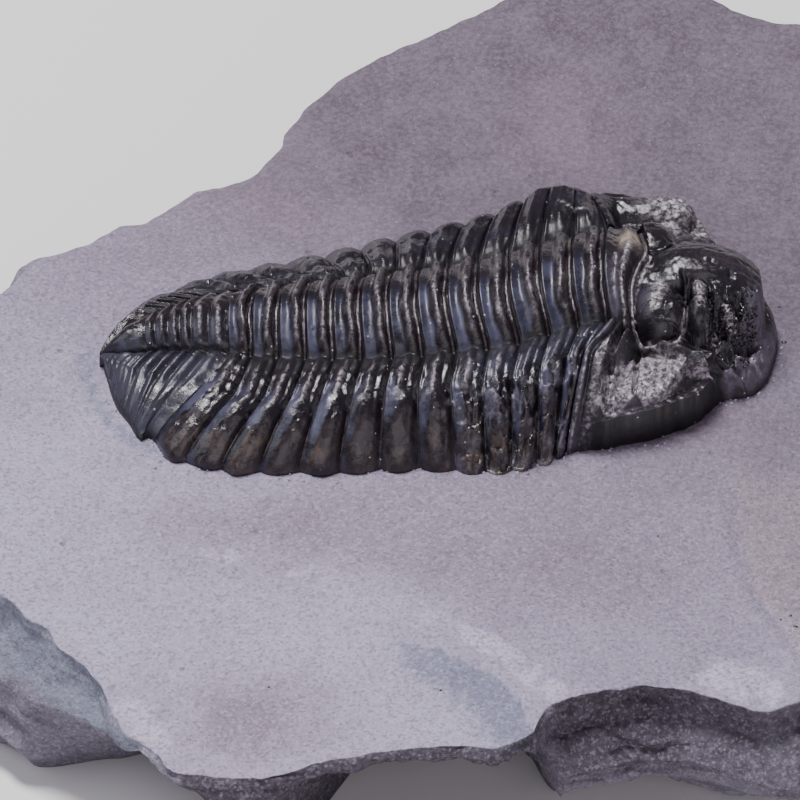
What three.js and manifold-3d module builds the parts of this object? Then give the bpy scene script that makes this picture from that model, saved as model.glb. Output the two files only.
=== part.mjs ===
// A trilobite fossil lying on its piece of shale. Millimetres, Z up, +X towards the head.
// The specimen is worked out above the rock's top face (z = 0) and lifted onto the rock at the end.
import * as THREE from "three";
import { mergeVertices } from "three/addons/utils/BufferGeometryUtils.js";
import Module from "manifold-3d";

const wasm = await Module();
wasm.setup();

// Driving dimensions
const ROCK_THICKNESS = 14;
const SEAT_DEPTH = 1.2; // how far the plates go down into the rock
const SEAT_FLOOR_GAP = 0.3;
const SEAT_SIDE_GAP = 0.35;
const PLATE_GAP = 0.3; // between neighbouring plates
const SEGMENTS = 13;
const TIP_BULGE = 0.55; // how far a pleura's rounded tip stands out past the even margin
const RIB_RELIEF = 0.38; // half the height of the ridge on a pleura
const TAIL_RIB_RELIEF = 0.22;
const CREST_REARWARD = 0.6; // how far the middle of a ring lies behind its ends
const CROSS_POINTS = [3, 2.75, 2.45, 2.2, 2, 1.7, 1.35, 1, 0.82, 0.55, 0.28, 0];
const SEGMENT_ROWS = [0, 0.14, 0.32, 0.48, 0.72, 1]; // from the front edge of a segment to its rear edge

// A smooth curve through [place, value] pairs, flat beyond its ends
function curve(pairs) {
  const last = pairs.length - 1;
  const width = pairs.slice(1).map((pair, i) => pair[0] - pairs[i][0]);
  const rise = pairs.slice(1).map((pair, i) => (pair[1] - pairs[i][1]) / width[i]);
  const slope = pairs.map((pair, i) => {
    if (i === 0) return rise[0];
    if (i === last) return rise[last - 1];
    return (rise[i - 1] * width[i] + rise[i] * width[i - 1]) / (width[i] + width[i - 1]);
  });
  return (place) => {
    const at = Math.min(Math.max(place, pairs[0][0]), pairs[last][0]);
    let i = 0;
    while (i < last - 1 && at > pairs[i + 1][0]) i += 1;
    const t = (at - pairs[i][0]) / width[i];
    const back = 1 - t;
    return pairs[i][1] * back * back * (1 + 2 * t) + pairs[i + 1][1] * t * t * (3 - 2 * t)
      + slope[i] * width[i] * t * back * back - slope[i + 1] * width[i] * t * t * back;
  };
}

const clamp = (value, low, high) => Math.min(Math.max(value, low), high);
const ease = (t) => t * t * (3 - 2 * t);
const bump = (value, middle, half) => Math.max(0, 1 - ((value - middle) / half) ** 2);
const step = (low, high, value) => ease(clamp((value - low) / (high - low), 0, 1));

// The body's lines, by segment: 0 is the front of the first thoracic segment, 13 the rear of the last,
// 20 the end of the tail. Distances are in mm from the body's middle line.
const TAIL_END = 20;
const middleX = curve([[0, 15.4], [1, 12.4], [3, 6.8], [5, 1.3], [7, -4], [9, -9.1], [11, -14],
  [13, -18.7], [15, -22.1], [17, -25.4], [TAIL_END, -30.3]]);
const middleY = curve([[0, 4.3], [1, 3.7], [2, 2.7], [3, 1.6], [4, 0.85], [6, 0.2], [8, 0], [10, 0.2],
  [12, 0.5], [13, 0.5], [15, 0.6], [17, 0.5], [18.5, -0.1], [TAIL_END, -1]]);
const ringHalfWidth = curve([[0, 5.9], [3, 5.7], [5, 5.5], [8, 5.4], [10, 4.9], [12, 4.2], [13, 3.7],
  [15, 3.1], [17, 2.4], [18.5, 1.75], [19.4, 1], [TAIL_END, 0.2]]);
const furrowHeight = curve([[0, 7.6], [2, 7.2], [4, 6.6], [7, 5.7], [10, 4.6], [13, 3.5], [15, 2.9],
  [17, 2.1], [19.3, 1.1], [TAIL_END, 0.5]]);
const ringArch = curve([[0, 2.9], [8, 2.7], [13, 2.1], [17, 1.5], [19.3, 1], [TAIL_END, 0.3]]);
const nearFulcrum = curve([[0, 10.6], [3, 10.7], [6, 10.1], [9, 10.1], [12, 10], [13, 7.8], [15, 6.9],
  [17, 5.2], [18.5, 3], [19.4, 1.6], [TAIL_END, 0.3]]);
const farFulcrum = curve([[0, 11.2], [1.5, 13.2], [2.5, 13.6], [3.5, 12.7], [5.5, 11.2], [7.5, 9.6],
  [9.5, 7.7], [11.5, 6.2], [13, 5], [15, 4.2], [17, 3.1], [18.5, 2.2], [19.4, 1.3], [TAIL_END, 0.25]]);
const farLift = curve([[0, -0.8], [1, -0.35], [2.3, 0.2], [3.2, -0.2], [5.5, -0.4], [7.5, -0.6],
  [9.5, -0.8], [13, -1.2], [15, -1.1], [17, -0.8], [TAIL_END, 0]]);
const nearMargin = curve([[0, 15.7], [1, 15.9], [3, 15.7], [6, 14.5], [9, 15.3], [11, 15.4], [11.5, 15],
  [12.5, 14], [13, 12.1], [14.6, 11.8], [16.6, 9.6], [18, 6.65], [18.8, 4.45], [19.4, 2.3], [19.8, 1.1],
  [TAIL_END, 0.4]]);
const farMargin = curve([[0, 16.4], [2.5, 17.6], [5.5, 16], [7.5, 14.4], [9.5, 12.2], [11.5, 9.9],
  [13, 7.7], [15, 6.8], [17, 5.5], [18.5, 3.6], [19.4, 2], [19.8, 1], [TAIL_END, 0.4]]);
const nearRingLead = curve([[0, 0.15], [2, 0.7], [4, 0.75], [6, 0.3], [8, 0], [12, -0.35], [TAIL_END, 0]]);
const farRingLead = curve([[0, -0.5], [1, -0.5], [2, -0.7], [3, -0.8], [6, -0.5], [8, 0], [12, 0.3],
  [TAIL_END, 0]]);
const fulcrumLead = curve([[0, -2], [0.5, -1.2], [2.5, 0], [4.5, 0.2], [6.5, -0.3], [8.5, -0.95],
  [10.5, -1.4], [12.5, -1.9], [15, -2.2], [17, -1.9], [TAIL_END, -0.8]]);
const tipLead = curve([[0, -3.4], [0.5, -2.5], [1.5, -0.6], [2.5, 0.15], [3.5, 0.7], [4.5, 1], [5.5, 0.5],
  [6.5, -0.3], [7.5, -1.3], [8.5, -2.3], [9.5, -3.4], [10.5, -4.5], [11.5, -5.5], [12.5, -6.2],
  [13, -6.5], [14.6, -5.2], [16.6, -3.1], [18, -2.2], [18.8, -1.5], [19.4, -1], [TAIL_END, -0.4]]);
const ringRelief = curve([[0, -0.8], [0.14, -0.22], [0.29, -0.05], [0.48, 0.72], [0.63, 0.36], [0.95, 0.12],
  [1, -0.3]]);
const ribRelief = curve([[0, -1.2], [0.14, 0], [0.32, 0.3], [0.48, 1], [0.72, 0.7], [1, -0.6]]);
const TAIL_RELIEF = 0.6; // how strong a tail ring is beside a ring of the thorax
const TAIL_ROOF_POWER = 0.72; // the far side of the tail falls in one rounded slope
// Where the rows of the tail lie: the front edge and the crest of each ring in turn
const TAIL_ROWS = [13.06, 13.5, 14, 14.45, 15, 15.33, 15.65, 15.98, 16.3, 16.68, 17.05, 17.4, 18, 18.8,
  19.4, 19.8, TAIL_END];

// How strong the relief is at s, less where the tail's rings fade
function reliefAt(s, strength) {
  return s <= SEGMENTS ? strength : strength * TAIL_RELIEF * (1 - step(SEGMENTS + 2, TAIL_END - 1, s));
}

// A point of the shell. v runs from -3 (near margin) over 0 (middle) to 3 (far margin):
// 0 to 1 is the axial ring, 1 to 2 the flat part of the pleura, 2 to 3 its turned-down flank.
// fraction is the place in the segment, 0 at its front edge, 1 at its rear edge.
function shellPoint(s, v, fraction) {
  const far = v > 0;
  const side = far ? 1 : -1;
  const t = Math.abs(v);
  const ring = ringHalfWidth(s);
  const furrow = furrowHeight(s);
  const fulcrum = far ? farFulcrum(s) : nearFulcrum(s);
  const bulge = s <= SEGMENTS ? TIP_BULGE * Math.sin(Math.PI * fraction) : 0;
  const margin = (far ? farMargin(s) : nearMargin(s)) + bulge;
  const shoulder = furrow + (far ? farLift(s) : 0);
  const ringLead = far ? farRingLead(s) : nearRingLead(s);
  const middleLead = (farRingLead(s) + nearRingLead(s)) / 2 - CREST_REARWARD;
  const ribStrength = s <= SEGMENTS ? RIB_RELIEF : reliefAt(s, TAIL_RIB_RELIEF);
  const rib = ribRelief(fraction) * ribStrength;
  const band = ringRelief(fraction) * reliefAt(s, 1);
  const tailSide = far ? step(11.6, 14.6, s) : 0;
  let out;
  let up;
  let lead;
  if (t <= 1) {
    out = ring * t;
    up = furrow + ringArch(s) * Math.cos(t * Math.PI / 2) ** 0.75 + band * (1 - 0.5 * t ** 6);
    lead = middleLead + (ringLead - middleLead) * t * t;
  } else if (t <= 2) {
    const u = t - 1;
    out = ring + (fulcrum - ring) * u;
    up = furrow + (shoulder - furrow) * u + 0.45 * Math.sin(Math.PI * u) + band * 0.5 * (1 - ease(u))
      + rib * ease(Math.min(1, u * 2.5));
    lead = ringLead + (fulcrumLead(s) - ringLead) * u ** 1.4;
  } else {
    const u = t - 2;
    out = fulcrum + (margin - fulcrum) * u ** 1.05;
    up = shoulder * Math.cos(u * Math.PI / 2) ** 0.8 + rib * (1 - 0.7 * u) + 0.15 * u;
    lead = fulcrumLead(s) + (tipLead(s) - fulcrumLead(s)) * u ** (1.2 + 1.6 * tailSide);
  }
  const fall = Math.cos(clamp(out / margin, 0, 1) * Math.PI / 2) ** TAIL_ROOF_POWER;
  const roof = (furrow + ringArch(s)) * fall + band * (1 - 0.4 * clamp(t - 2, 0, 1));
  up = up * (1 - tailSide) + roof * tailSide;
  return new THREE.Vector3(middleX(s) + lead, middleY(s) + side * out, Math.max(up, 0.15));
}

// A closed solid: a grid of top points with walls down to a flat underside
function solidUnder(rows, floor) {
  const columns = rows[0].length;
  const positions = rows.flat().flatMap((point) => [point.x, point.y, point.z]);
  const faces = [];
  for (let r = 0; r + 1 < rows.length; r += 1) {
    for (let c = 0; c + 1 < columns; c += 1) {
      const corner = r * columns + c;
      faces.push(corner, corner + columns, corner + columns + 1, corner, corner + columns + 1, corner + 1);
    }
  }
  const rim = [];
  for (let c = 0; c < columns; c += 1) rim.push(c);
  for (let r = 1; r < rows.length; r += 1) rim.push(r * columns + columns - 1);
  for (let c = columns - 2; c >= 0; c -= 1) rim.push((rows.length - 1) * columns + c);
  for (let r = rows.length - 2; r > 0; r -= 1) rim.push(r * columns);
  const firstFoot = positions.length / 3;
  for (const index of rim) positions.push(positions[index * 3], positions[index * 3 + 1], floor);
  for (let i = 0; i < rim.length; i += 1) {
    const next = (i + 1) % rim.length;
    faces.push(rim[i], rim[next], firstFoot + next, rim[i], firstFoot + next, firstFoot + i);
  }
  const outline = rim.map((index) => new THREE.Vector2(positions[index * 3], positions[index * 3 + 1]));
  const clockwise = THREE.ShapeUtils.isClockWise(outline);
  for (const triangle of THREE.ShapeUtils.triangulateShape(outline, [])) {
    if (clockwise) triangle.reverse();
    faces.push(...triangle.map((index) => firstFoot + index));
  }
  return facesOutward(positions, faces);
}

// The body as an indexed geometry, turned the right way out
function facesOutward(positions, faces) {
  let volume = 0;
  const corner = (index) => new THREE.Vector3().fromArray(positions, index * 3);
  for (let i = 0; i < faces.length; i += 3) {
    volume += corner(faces[i]).dot(corner(faces[i + 1]).cross(corner(faces[i + 2])));
  }
  const turned = volume < 0 ? faces.map((_, i) => faces[i - (i % 3) + [0, 2, 1][i % 3]]) : faces;
  const geometry = new THREE.BufferGeometry();
  geometry.setAttribute("position", new THREE.Float32BufferAttribute(positions, 3));
  geometry.setIndex(turned);
  return geometry;
}

// All the places across the body, from the near margin to the far one
function across() {
  const near = CROSS_POINTS.map((t) => -t);
  const far = CROSS_POINTS.slice(0, -1).reverse();
  return [...near, ...far];
}

function segmentPlate(number) {
  const rows = SEGMENT_ROWS.map((fraction) => {
    const inset = PLATE_GAP / 2 / 2.9;
    const s = number - 1 + inset + fraction * (1 - 2 * inset);
    return across().map((v) => shellPoint(s, v, fraction));
  });
  return solidUnder(rows, -SEAT_DEPTH);
}

function tailPlate() {
  const rows = TAIL_ROWS.map((s, i) => across().map((v) => shellPoint(s, v, i % 2 === 0 ? 0 : 0.48)));
  return solidUnder(rows, -SEAT_DEPTH);
}

// The head's rounded forms: middle, half length, half width, height at the foot and at the top
const HEAD_LOBES = [
  { x: 22.3, y: 4.5, long: 5.4, front: 8, wide: 5.6, foot: 4.4, top: 10.1 }, // the glabella's middle
  { x: 19.3, y: 4.6, long: 2.8, wide: 5.2, foot: 7.2, top: 9 }, // its neck
  { x: 19.8, y: 0.7, long: 2.4, wide: 3.6, foot: 6.2, top: 8.9 }, // near rear side lobe
  { x: 18.8, y: 8.9, long: 2.6, wide: 2.8, foot: 6.6, top: 9.2 },
  { x: 23.5, y: 0.4, long: 1.2, wide: 2.2, foot: 6.2, top: 8.5 }, // near front side lobe
  { x: 23.4, y: 9.2, long: 1.2, wide: 1.7, foot: 6, top: 7.6 },
  { x: 16.6, y: 4.6, long: 1.7, wide: 6.2, foot: 7.6, top: 11.25 }, // the ring behind the glabella
  { x: 18.9, y: -6.6, long: 4.2, wide: 3.4, foot: 4.6, top: 5.9 }, // near worn cheek mound
  { x: 23, y: -4, long: 2.2, wide: 0.9, foot: 5, top: 6.4 }, // the broken ledge beside it
  { x: 17.9, y: 16.8, long: 4.4, wide: 2.2, foot: 4.4, top: 5.6 }, // far raised cheek
];
const LOBE_FALL = 0.5;
const LOBE_FOOT_SLOPE = 3; // how steeply the ground falls away from a lobe's foot
const LOBE_BLEND = 0.5; // how softly two forms of the head meet
const CHEEK_HEIGHT = 4.6;
const CHEEK_WALL = 3; // width of the cheek's steep side
const FRONT_LIP_HEIGHT = 2.7;
const FRONT_LIP_WIDTH = 1; // at the far side; the lip widens towards the near side
const FRONT_LIP_SPREAD = 1.5;
const HEAD_MARGIN = [[13.2, -11.2], [15.8, -10.5], [18.6, -9.4], [20.6, -8.5], [22.3, -7.6], [23.9, -6.4],
  [25, -4.8], [26.1, -3.8], [27.4, -3.4], [28.7, -2.6], [29.7, -1], [30.4, 1.6], [30.6, 4.4], [30, 7.6],
  [28.2, 10.4], [25.8, 12.8], [24, 15], [22.6, 17.7], [20.4, 19.5], [17, 20.2], [14.6, 20.4]];
const HEAD_COLUMNS = 44;
const HEAD_ROWS = [0, 0.05, 0.1, 0.16, 0.22, 0.28, 0.35, 0.43, 0.51, 0.59, 0.67, 0.75, 0.82, 0.88, 0.92,
  0.96, 1];
const NEAR_SUTURE = [[11, -10.1], [14.5, -9.6], [18.7, -7.9], [22.2, -5.7], [24.8, -3.6], [26.3, -2.7],
  [28.4, -5.4]];
const FAR_SUTURE = [[12.6, 18.9], [16.2, 18.3], [18.4, 16.9], [20.6, 14.9], [22.6, 13.5], [27, 14.8]];

// The higher of two heights, rounded where they are nearly the same
function softMax(a, b, width) {
  return Math.max(a, b) + Math.max(0, width - Math.abs(a - b)) ** 2 / (4 * width);
}

const headMargin = new THREE.CatmullRomCurve3(HEAD_MARGIN.map(([x, y]) => new THREE.Vector3(x, y, 0)));

// The height of the head's surface; inward is the distance from its free margin
function headHeight(x, y, inward) {
  const wall = 1 - (1 - clamp(inward / CHEEK_WALL, 0, 1)) ** 2.2;
  let height = CHEEK_HEIGHT * wall;
  for (const lobe of HEAD_LOBES) {
    const long = lobe.front && x > lobe.x ? lobe.front : lobe.long;
    const away = ((x - lobe.x) / long) ** 2 + ((y - lobe.y) / lobe.wide) ** 2;
    const raised = (lobe.top - lobe.foot) * Math.max(0, 1 - away) ** LOBE_FALL;
    const fall = LOBE_FOOT_SLOPE * Math.max(0, Math.sqrt(away) - 1) * Math.min(long, lobe.wide);
    height = softMax(height, lobe.foot + raised - fall, LOBE_BLEND);
  }
  const lipWidth = FRONT_LIP_WIDTH + FRONT_LIP_SPREAD * step(-3.5, 2, -y);
  const lip = FRONT_LIP_HEIGHT * Math.sqrt(Math.max(0, 1 - (1 - inward / lipWidth) ** 2));
  const front = step(24.5, 26.5, x) * (1 - step(lipWidth, lipWidth + 0.7, inward));
  return height * (1 - front) + Math.max(lip, 0.4) * front;
}

// The whole head in one grid: columns run along its rear edge and margin, rows from rear to margin
function headBody() {
  const grid = HEAD_ROWS.map((t) => {
    const line = [];
    for (let column = 0; column <= HEAD_COLUMNS; column += 1) {
      const place = column / HEAD_COLUMNS;
      const edge = headMargin.getPointAt(place);
      const rear = shellPoint(0, -3 + 6 * place, 0.2);
      rear.x += PLATE_GAP / 2;
      const point = rear.clone().lerp(edge, t);
      const inward = Math.hypot(edge.x - point.x, edge.y - point.y);
      const blend = step(0, 0.16, t);
      point.z = Math.max(0.15, rear.z * (1 - blend) + headHeight(point.x, point.y, inward) * blend);
      line.push(point);
    }
    return line;
  });
  return solidUnder(grid, -SEAT_DEPTH);
}

// A thin upright sheet that follows a line seen from above
function sheetAlong(line, thickness) {
  const points = line.map(([x, y]) => new THREE.Vector2(x, y));
  const sideways = points.map((point, i) => {
    const before = points[Math.max(0, i - 1)];
    const after = points[Math.min(points.length - 1, i + 1)];
    return new THREE.Vector2(before.y - after.y, after.x - before.x).setLength(thickness / 2);
  });
  const left = points.map((point, i) => point.clone().add(sideways[i]));
  const right = points.map((point, i) => point.clone().sub(sideways[i])).reverse();
  return upright(new THREE.Shape([...left, ...right]), -2 * SEAT_DEPTH, 20);
}

function upright(shape, low, high) {
  const body = new THREE.ExtrudeGeometry(shape, { depth: high - low, bevelEnabled: false, steps: 1 });
  return body.translate(0, 0, low);
}

function toManifold(geometry) {
  const bare = new THREE.BufferGeometry().setAttribute("position", geometry.getAttribute("position").clone());
  if (geometry.index) bare.setIndex([...geometry.index.array]);
  const welded = mergeVertices(bare);
  return new wasm.Manifold(new wasm.Mesh({
    numProp: 3,
    vertProperties: new Float32Array(welded.getAttribute("position").array),
    triVerts: new Uint32Array(welded.index.array),
  }));
}

function fromManifold(body) {
  const mesh = body.getMesh();
  const geometry = new THREE.BufferGeometry();
  geometry.setAttribute("position", new THREE.BufferAttribute(new Float32Array(mesh.vertProperties), 3));
  geometry.setIndex(new THREE.BufferAttribute(new Uint32Array(mesh.triVerts), 1));
  return geometry;
}

// The head parted along its two seams: near cheek, middle, far cheek
function headPlates() {
  let head = toManifold(headBody());
  for (const seam of [NEAR_SUTURE, FAR_SUTURE]) {
    head = head.subtract(toManifold(sheetAlong(seam, PLATE_GAP)));
  }
  const pieces = head.decompose().filter((piece) => piece.volume() > 1);
  const middleOf = (piece) => {
    const box = piece.boundingBox();
    return (box.min[1] + box.max[1]) / 2;
  };
  return pieces.sort((a, b) => middleOf(a) - middleOf(b)).map(fromManifold);
}

// The rock's outline on its top face, counter-clockwise from the right of the near edge
const ROCK_EDGE = [[44, -41], [53, -37], [57, -27], [65, -20], [66, -4], [62, 8], [63.5, 20], [57, 33],
  [47, 38], [41, 48], [28, 51], [17, 55], [6, 52.1], [-1, 48.3], [-6, 44.9], [-9.9, 42.1], [-12.8, 39],
  [-16, 34], [-15.8, 31], [-17.5, 27.4], [-19.1, 25.6], [-23.9, 24.2], [-27, 20.6], [-32.3, 17.4],
  [-38.2, 12.4], [-42, 6.5], [-46, -3], [-47, -14], [-44, -25], [-37.6, -32.6], [-32.8, -36.8],
  [-28.6, -42], [-25.3, -47.7], [-21, -53.2], [-14.7, -54.2], [-10, -53.4], [-6.8, -52.4], [-1.6, -51.2],
  [3.7, -50.2], [8.2, -50.5], [10.4, -49], [11.4, -45.8], [14.4, -43.9], [19.3, -41.9], [24.9, -42.2],
  [29.6, -44.3], [34.5, -42.2]];
const ROCK_MIDDLE = { x: 6, y: -2 };
const TOP_RINGS = [0.3, 0.52, 0.7, 0.86, 0.95];
// Side profiles: [how far down, how far out past the top edge], from the top edge to the underside
const PLAIN_SIDE = [[0, 0], [0.8, 0.7], [3.5, 1.2], [7, 0.4], [11, -0.8], [14, -2.6]];
const UNDERCUT_SIDE = [[0, 0], [0.7, 0.5], [1.6, -0.2], [4, -4.6], [9, -10], [14, -15]];
const STEPPED_SIDE = [[0, 0], [3.4, 0.9], [4.6, 3.4], [8.6, 4.6], [10, 6], [14, 3.2]];
const CHIPPED_SIDE = [[0, 0], [3.4, 0.2], [4.3, 2.8], [5.4, 4.6], [7.2, 4], [14, -4]];
const FAR_SIDE = [[0, 0], [1, 0.3], [3.5, 0.6], [7, -0.2], [11, -1.2], [14, -2.8]];

// How much each side profile counts at a point of the outline
function sideShares(x, y) {
  const near = 1 - step(-30, -22, y);
  const stepped = near * (1 - step(-33, -23, x));
  const undercut = near * step(-33, -23, x) * (1 - step(9.5, 13, x)) * (1 - bump(x, -14.5, 4));
  const chipped = near * step(9.5, 13, x) * (1 - step(31, 40, x));
  const far = step(0, 12, y);
  return [[STEPPED_SIDE, stepped], [UNDERCUT_SIDE, undercut], [CHIPPED_SIDE, chipped], [FAR_SIDE, far],
    [PLAIN_SIDE, (1 - far) * (1 - stepped - undercut - chipped)]];
}

// Where the low step in the rock behind the fossil runs
const stepLine = curve([[12, -7], [16.3, -9.6], [22, -14.1], [25.4, -17.9], [32, -16.1], [40, -14]]);
const STEP_HEIGHT = 0.75;
const FACET_SLOPE = 0.17;

// The rock's top face: nearly flat by the fossil, a slope beyond the crease at the right
function rockHeight(x, y) {
  const crease = 29 - 0.16 * (y + 20);
  const facet = -FACET_SLOPE * Math.max(x - crease, 0) * step(-10, 14, -y);
  const away = step(17, 40, Math.hypot(x, (y + 2) * 1.15));
  const swell = 0.7 * Math.sin(x * 0.11 + 1) + 0.6 * Math.sin(y * 0.13 + x * 0.05);
  const lower = -STEP_HEIGHT * step(-1.8, 1.2, stepLine(y) - x) * step(10, 17, y);
  return facet + away * swell + lower - 0.25;
}

function rockPoint(index, level) {
  const [x, y] = ROCK_EDGE[index];
  let down = 0;
  let out = 0;
  for (const [profile, share] of sideShares(x, y)) {
    down += profile[level][0] * share;
    out += profile[level][1] * share;
  }
  const reach = Math.hypot(x - ROCK_MIDDLE.x, y - ROCK_MIDDLE.y);
  const scale = (reach + out) / reach;
  const top = rockHeight(x, y);
  const lowest = level === PLAIN_SIDE.length - 1;
  const z = lowest ? -ROCK_THICKNESS : top - down * (ROCK_THICKNESS + top) / ROCK_THICKNESS;
  return [ROCK_MIDDLE.x + (x - ROCK_MIDDLE.x) * scale, ROCK_MIDDLE.y + (y - ROCK_MIDDLE.y) * scale, z];
}

function rockBody() {
  const around = ROCK_EDGE.length;
  const rings = TOP_RINGS.map((part) => ROCK_EDGE.map(([edgeX, edgeY]) => {
    const x = ROCK_MIDDLE.x + (edgeX - ROCK_MIDDLE.x) * part;
    const y = ROCK_MIDDLE.y + (edgeY - ROCK_MIDDLE.y) * part;
    return [x, y, rockHeight(x, y)];
  }));
  for (let level = 0; level < PLAIN_SIDE.length; level += 1) {
    rings.push(ROCK_EDGE.map((_, index) => rockPoint(index, level)));
  }
  const positions = [ROCK_MIDDLE.x, ROCK_MIDDLE.y, rockHeight(ROCK_MIDDLE.x, ROCK_MIDDLE.y)];
  positions.push(...rings.flat(2));
  const foot = positions.length / 3;
  positions.push(ROCK_MIDDLE.x, ROCK_MIDDLE.y, -ROCK_THICKNESS);
  const faces = [];
  for (let i = 0; i < around; i += 1) {
    const next = (i + 1) % around;
    faces.push(0, 1 + i, 1 + next);
    for (let r = 0; r + 1 < rings.length; r += 1) {
      const inner = 1 + r * around;
      const outer = inner + around;
      faces.push(inner + i, outer + i, outer + next, inner + i, outer + next, inner + next);
    }
    const last = 1 + (rings.length - 1) * around;
    faces.push(last + i, foot, last + next);
  }
  return facesOutward(positions, faces);
}

// The specimen's outline from above, a little outside its plates
function seatOutline() {
  const outline = [];
  for (let s = 0; s <= TAIL_END; s += 0.5) outline.push(shellPoint(s, -3, 0));
  for (let s = TAIL_END; s >= 0; s -= 0.5) outline.push(shellPoint(s, 3, 0));
  outline.push(...HEAD_MARGIN.map(([x, y]) => new THREE.Vector3(x, y, 0)).reverse());
  const count = outline.length;
  return outline.map((point, i) => {
    const before = outline[(i + count - 1) % count];
    const after = outline[(i + 1) % count];
    const along = new THREE.Vector2(after.x - before.x, after.y - before.y);
    const outward = new THREE.Vector2(-along.y, along.x).setLength(SEAT_SIDE_GAP + TIP_BULGE);
    return new THREE.Vector2(point.x + outward.x, point.y + outward.y);
  });
}

function rockSlab() {
  const seat = upright(new THREE.Shape(seatOutline()), -SEAT_DEPTH - SEAT_FLOOR_GAP, 20);
  return fromManifold(toManifold(rockBody()).subtract(toManifold(seat)));
}

const material = (color, roughness) => new THREE.MeshStandardMaterial({ color, roughness, metalness: 0 });

const rock = rockSlab();
rock.computeBoundingBox();
const rockCentre = rock.boundingBox.getCenter(new THREE.Vector3());

// A named part, moved so that the rock stands on z = 0 with its middle over the origin
function named(name, geometry, look) {
  const mesh = new THREE.Mesh(geometry.translate(-rockCentre.x, -rockCentre.y, ROCK_THICKNESS), look);
  mesh.name = name;
  return mesh;
}

const fossil = new THREE.Group();
fossil.name = "trilobite_fossil";
fossil.add(named("matrix_slab", rock, material(0x9a929f, 0.85)));
const [nearCheek, headMiddle, farCheek] = headPlates();
fossil.add(named("cranidium", headMiddle, material(0x26232a, 0.4)));
fossil.add(named("free_cheek_right", nearCheek, material(0x2a262b, 0.42)));
fossil.add(named("free_cheek_left", farCheek, material(0x34302f, 0.45)));
for (let number = 1; number <= SEGMENTS; number += 1) {
  const name = `thorax_segment_${String(number).padStart(2, "0")}`;
  fossil.add(named(name, segmentPlate(number), material(0x242228, 0.38)));
}
fossil.add(named("pygidium", tailPlate(), material(0x2a2a33, 0.38)));

export default fossil;
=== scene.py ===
"""A trilobite fossil in its piece of shale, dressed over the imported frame."""
import math
from collections import namedtuple

import bpy
import numpy as np
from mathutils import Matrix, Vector


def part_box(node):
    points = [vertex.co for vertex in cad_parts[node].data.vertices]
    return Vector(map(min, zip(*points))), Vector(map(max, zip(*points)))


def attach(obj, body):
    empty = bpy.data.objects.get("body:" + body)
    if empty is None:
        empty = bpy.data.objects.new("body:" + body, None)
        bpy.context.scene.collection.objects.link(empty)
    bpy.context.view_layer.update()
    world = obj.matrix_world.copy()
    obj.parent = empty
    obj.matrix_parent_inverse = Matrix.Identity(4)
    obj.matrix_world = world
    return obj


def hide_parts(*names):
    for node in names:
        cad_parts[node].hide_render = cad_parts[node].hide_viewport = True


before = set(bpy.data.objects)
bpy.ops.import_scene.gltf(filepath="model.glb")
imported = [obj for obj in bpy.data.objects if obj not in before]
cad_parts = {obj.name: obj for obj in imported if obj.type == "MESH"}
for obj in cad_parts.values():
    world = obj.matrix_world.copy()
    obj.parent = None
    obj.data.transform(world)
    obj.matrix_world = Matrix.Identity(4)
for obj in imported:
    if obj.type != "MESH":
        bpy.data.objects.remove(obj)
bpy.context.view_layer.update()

# Shapes are worked out in millimetres above the rock's top face, then moved into the frame.
MM = 0.001
ROCK_THICKNESS = 14.0
SEAT_DEPTH = 1.2
SHELL_FOOT = 0.12  # the lowest that the shell's edge lies above the rock
SEGMENTS = 13
TAIL_END = 20
SLAB_LOW, SLAB_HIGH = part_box("matrix_slab")
SLAB_SHIFT = np.array([-9.5145, -0.1384, ROCK_THICKNESS])


# Number tools


def curve(*pairs):
    """A smooth curve through (place, value) pairs, flat beyond its ends, for arrays of places."""
    place = np.array([pair[0] for pair in pairs], float)
    value = np.array([pair[1] for pair in pairs], float)
    width = np.diff(place)
    rise = np.diff(value) / width
    inner = (rise[:-1] * width[1:] + rise[1:] * width[:-1]) / (width[1:] + width[:-1])
    slope = np.concatenate(([rise[0]], inner, [rise[-1]]))

    def at(where):
        where = np.clip(where, place[0], place[-1])
        i = np.clip(np.searchsorted(place, where, side="right") - 1, 0, len(place) - 2)
        t = (where - place[i]) / width[i]
        back = 1 - t
        return (value[i] * back * back * (1 + 2 * t) + value[i + 1] * t * t * (3 - 2 * t)
                + slope[i] * width[i] * t * back * back - slope[i + 1] * width[i] * t * t * back)
    return at


def step(low, high, value):
    t = np.clip((value - low) / (high - low), 0, 1)
    return t * t * (3 - 2 * t)


def hump(value, middle, half):
    return np.exp(-((value - middle) / half) ** 2)


def between(value, rise_from, rise_to, fall_from, fall_to):
    """A band: 0, rising to 1 between the first two values, and back to 0 between the last two."""
    return step(rise_from, rise_to, value) * (1 - step(fall_from, fall_to, value))


def spot(x, y, at_x, at_y, half_x, half_y=None):
    """1 in the middle of an oval, falling off over its half widths."""
    return np.exp(-((x - at_x) / half_x) ** 2 - ((y - at_y) / (half_y or half_x)) ** 2)


def spots(x, y, table):
    """The sum of many round or oval spots: x, y, half widths, strength."""
    return sum(strength * spot(x, y, *place) for *place, strength in table)


def flat_points(x, y):
    return np.stack([x, y, 0 * x], axis=-1)


def soft_max(a, b, blend):
    """The greater of two heights, with their meeting rounded."""
    mix = np.clip(0.5 + 0.5 * (a - b) / blend, 0, 1)
    return b * (1 - mix) + a * mix + blend * mix * (1 - mix) * 0.5


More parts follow.
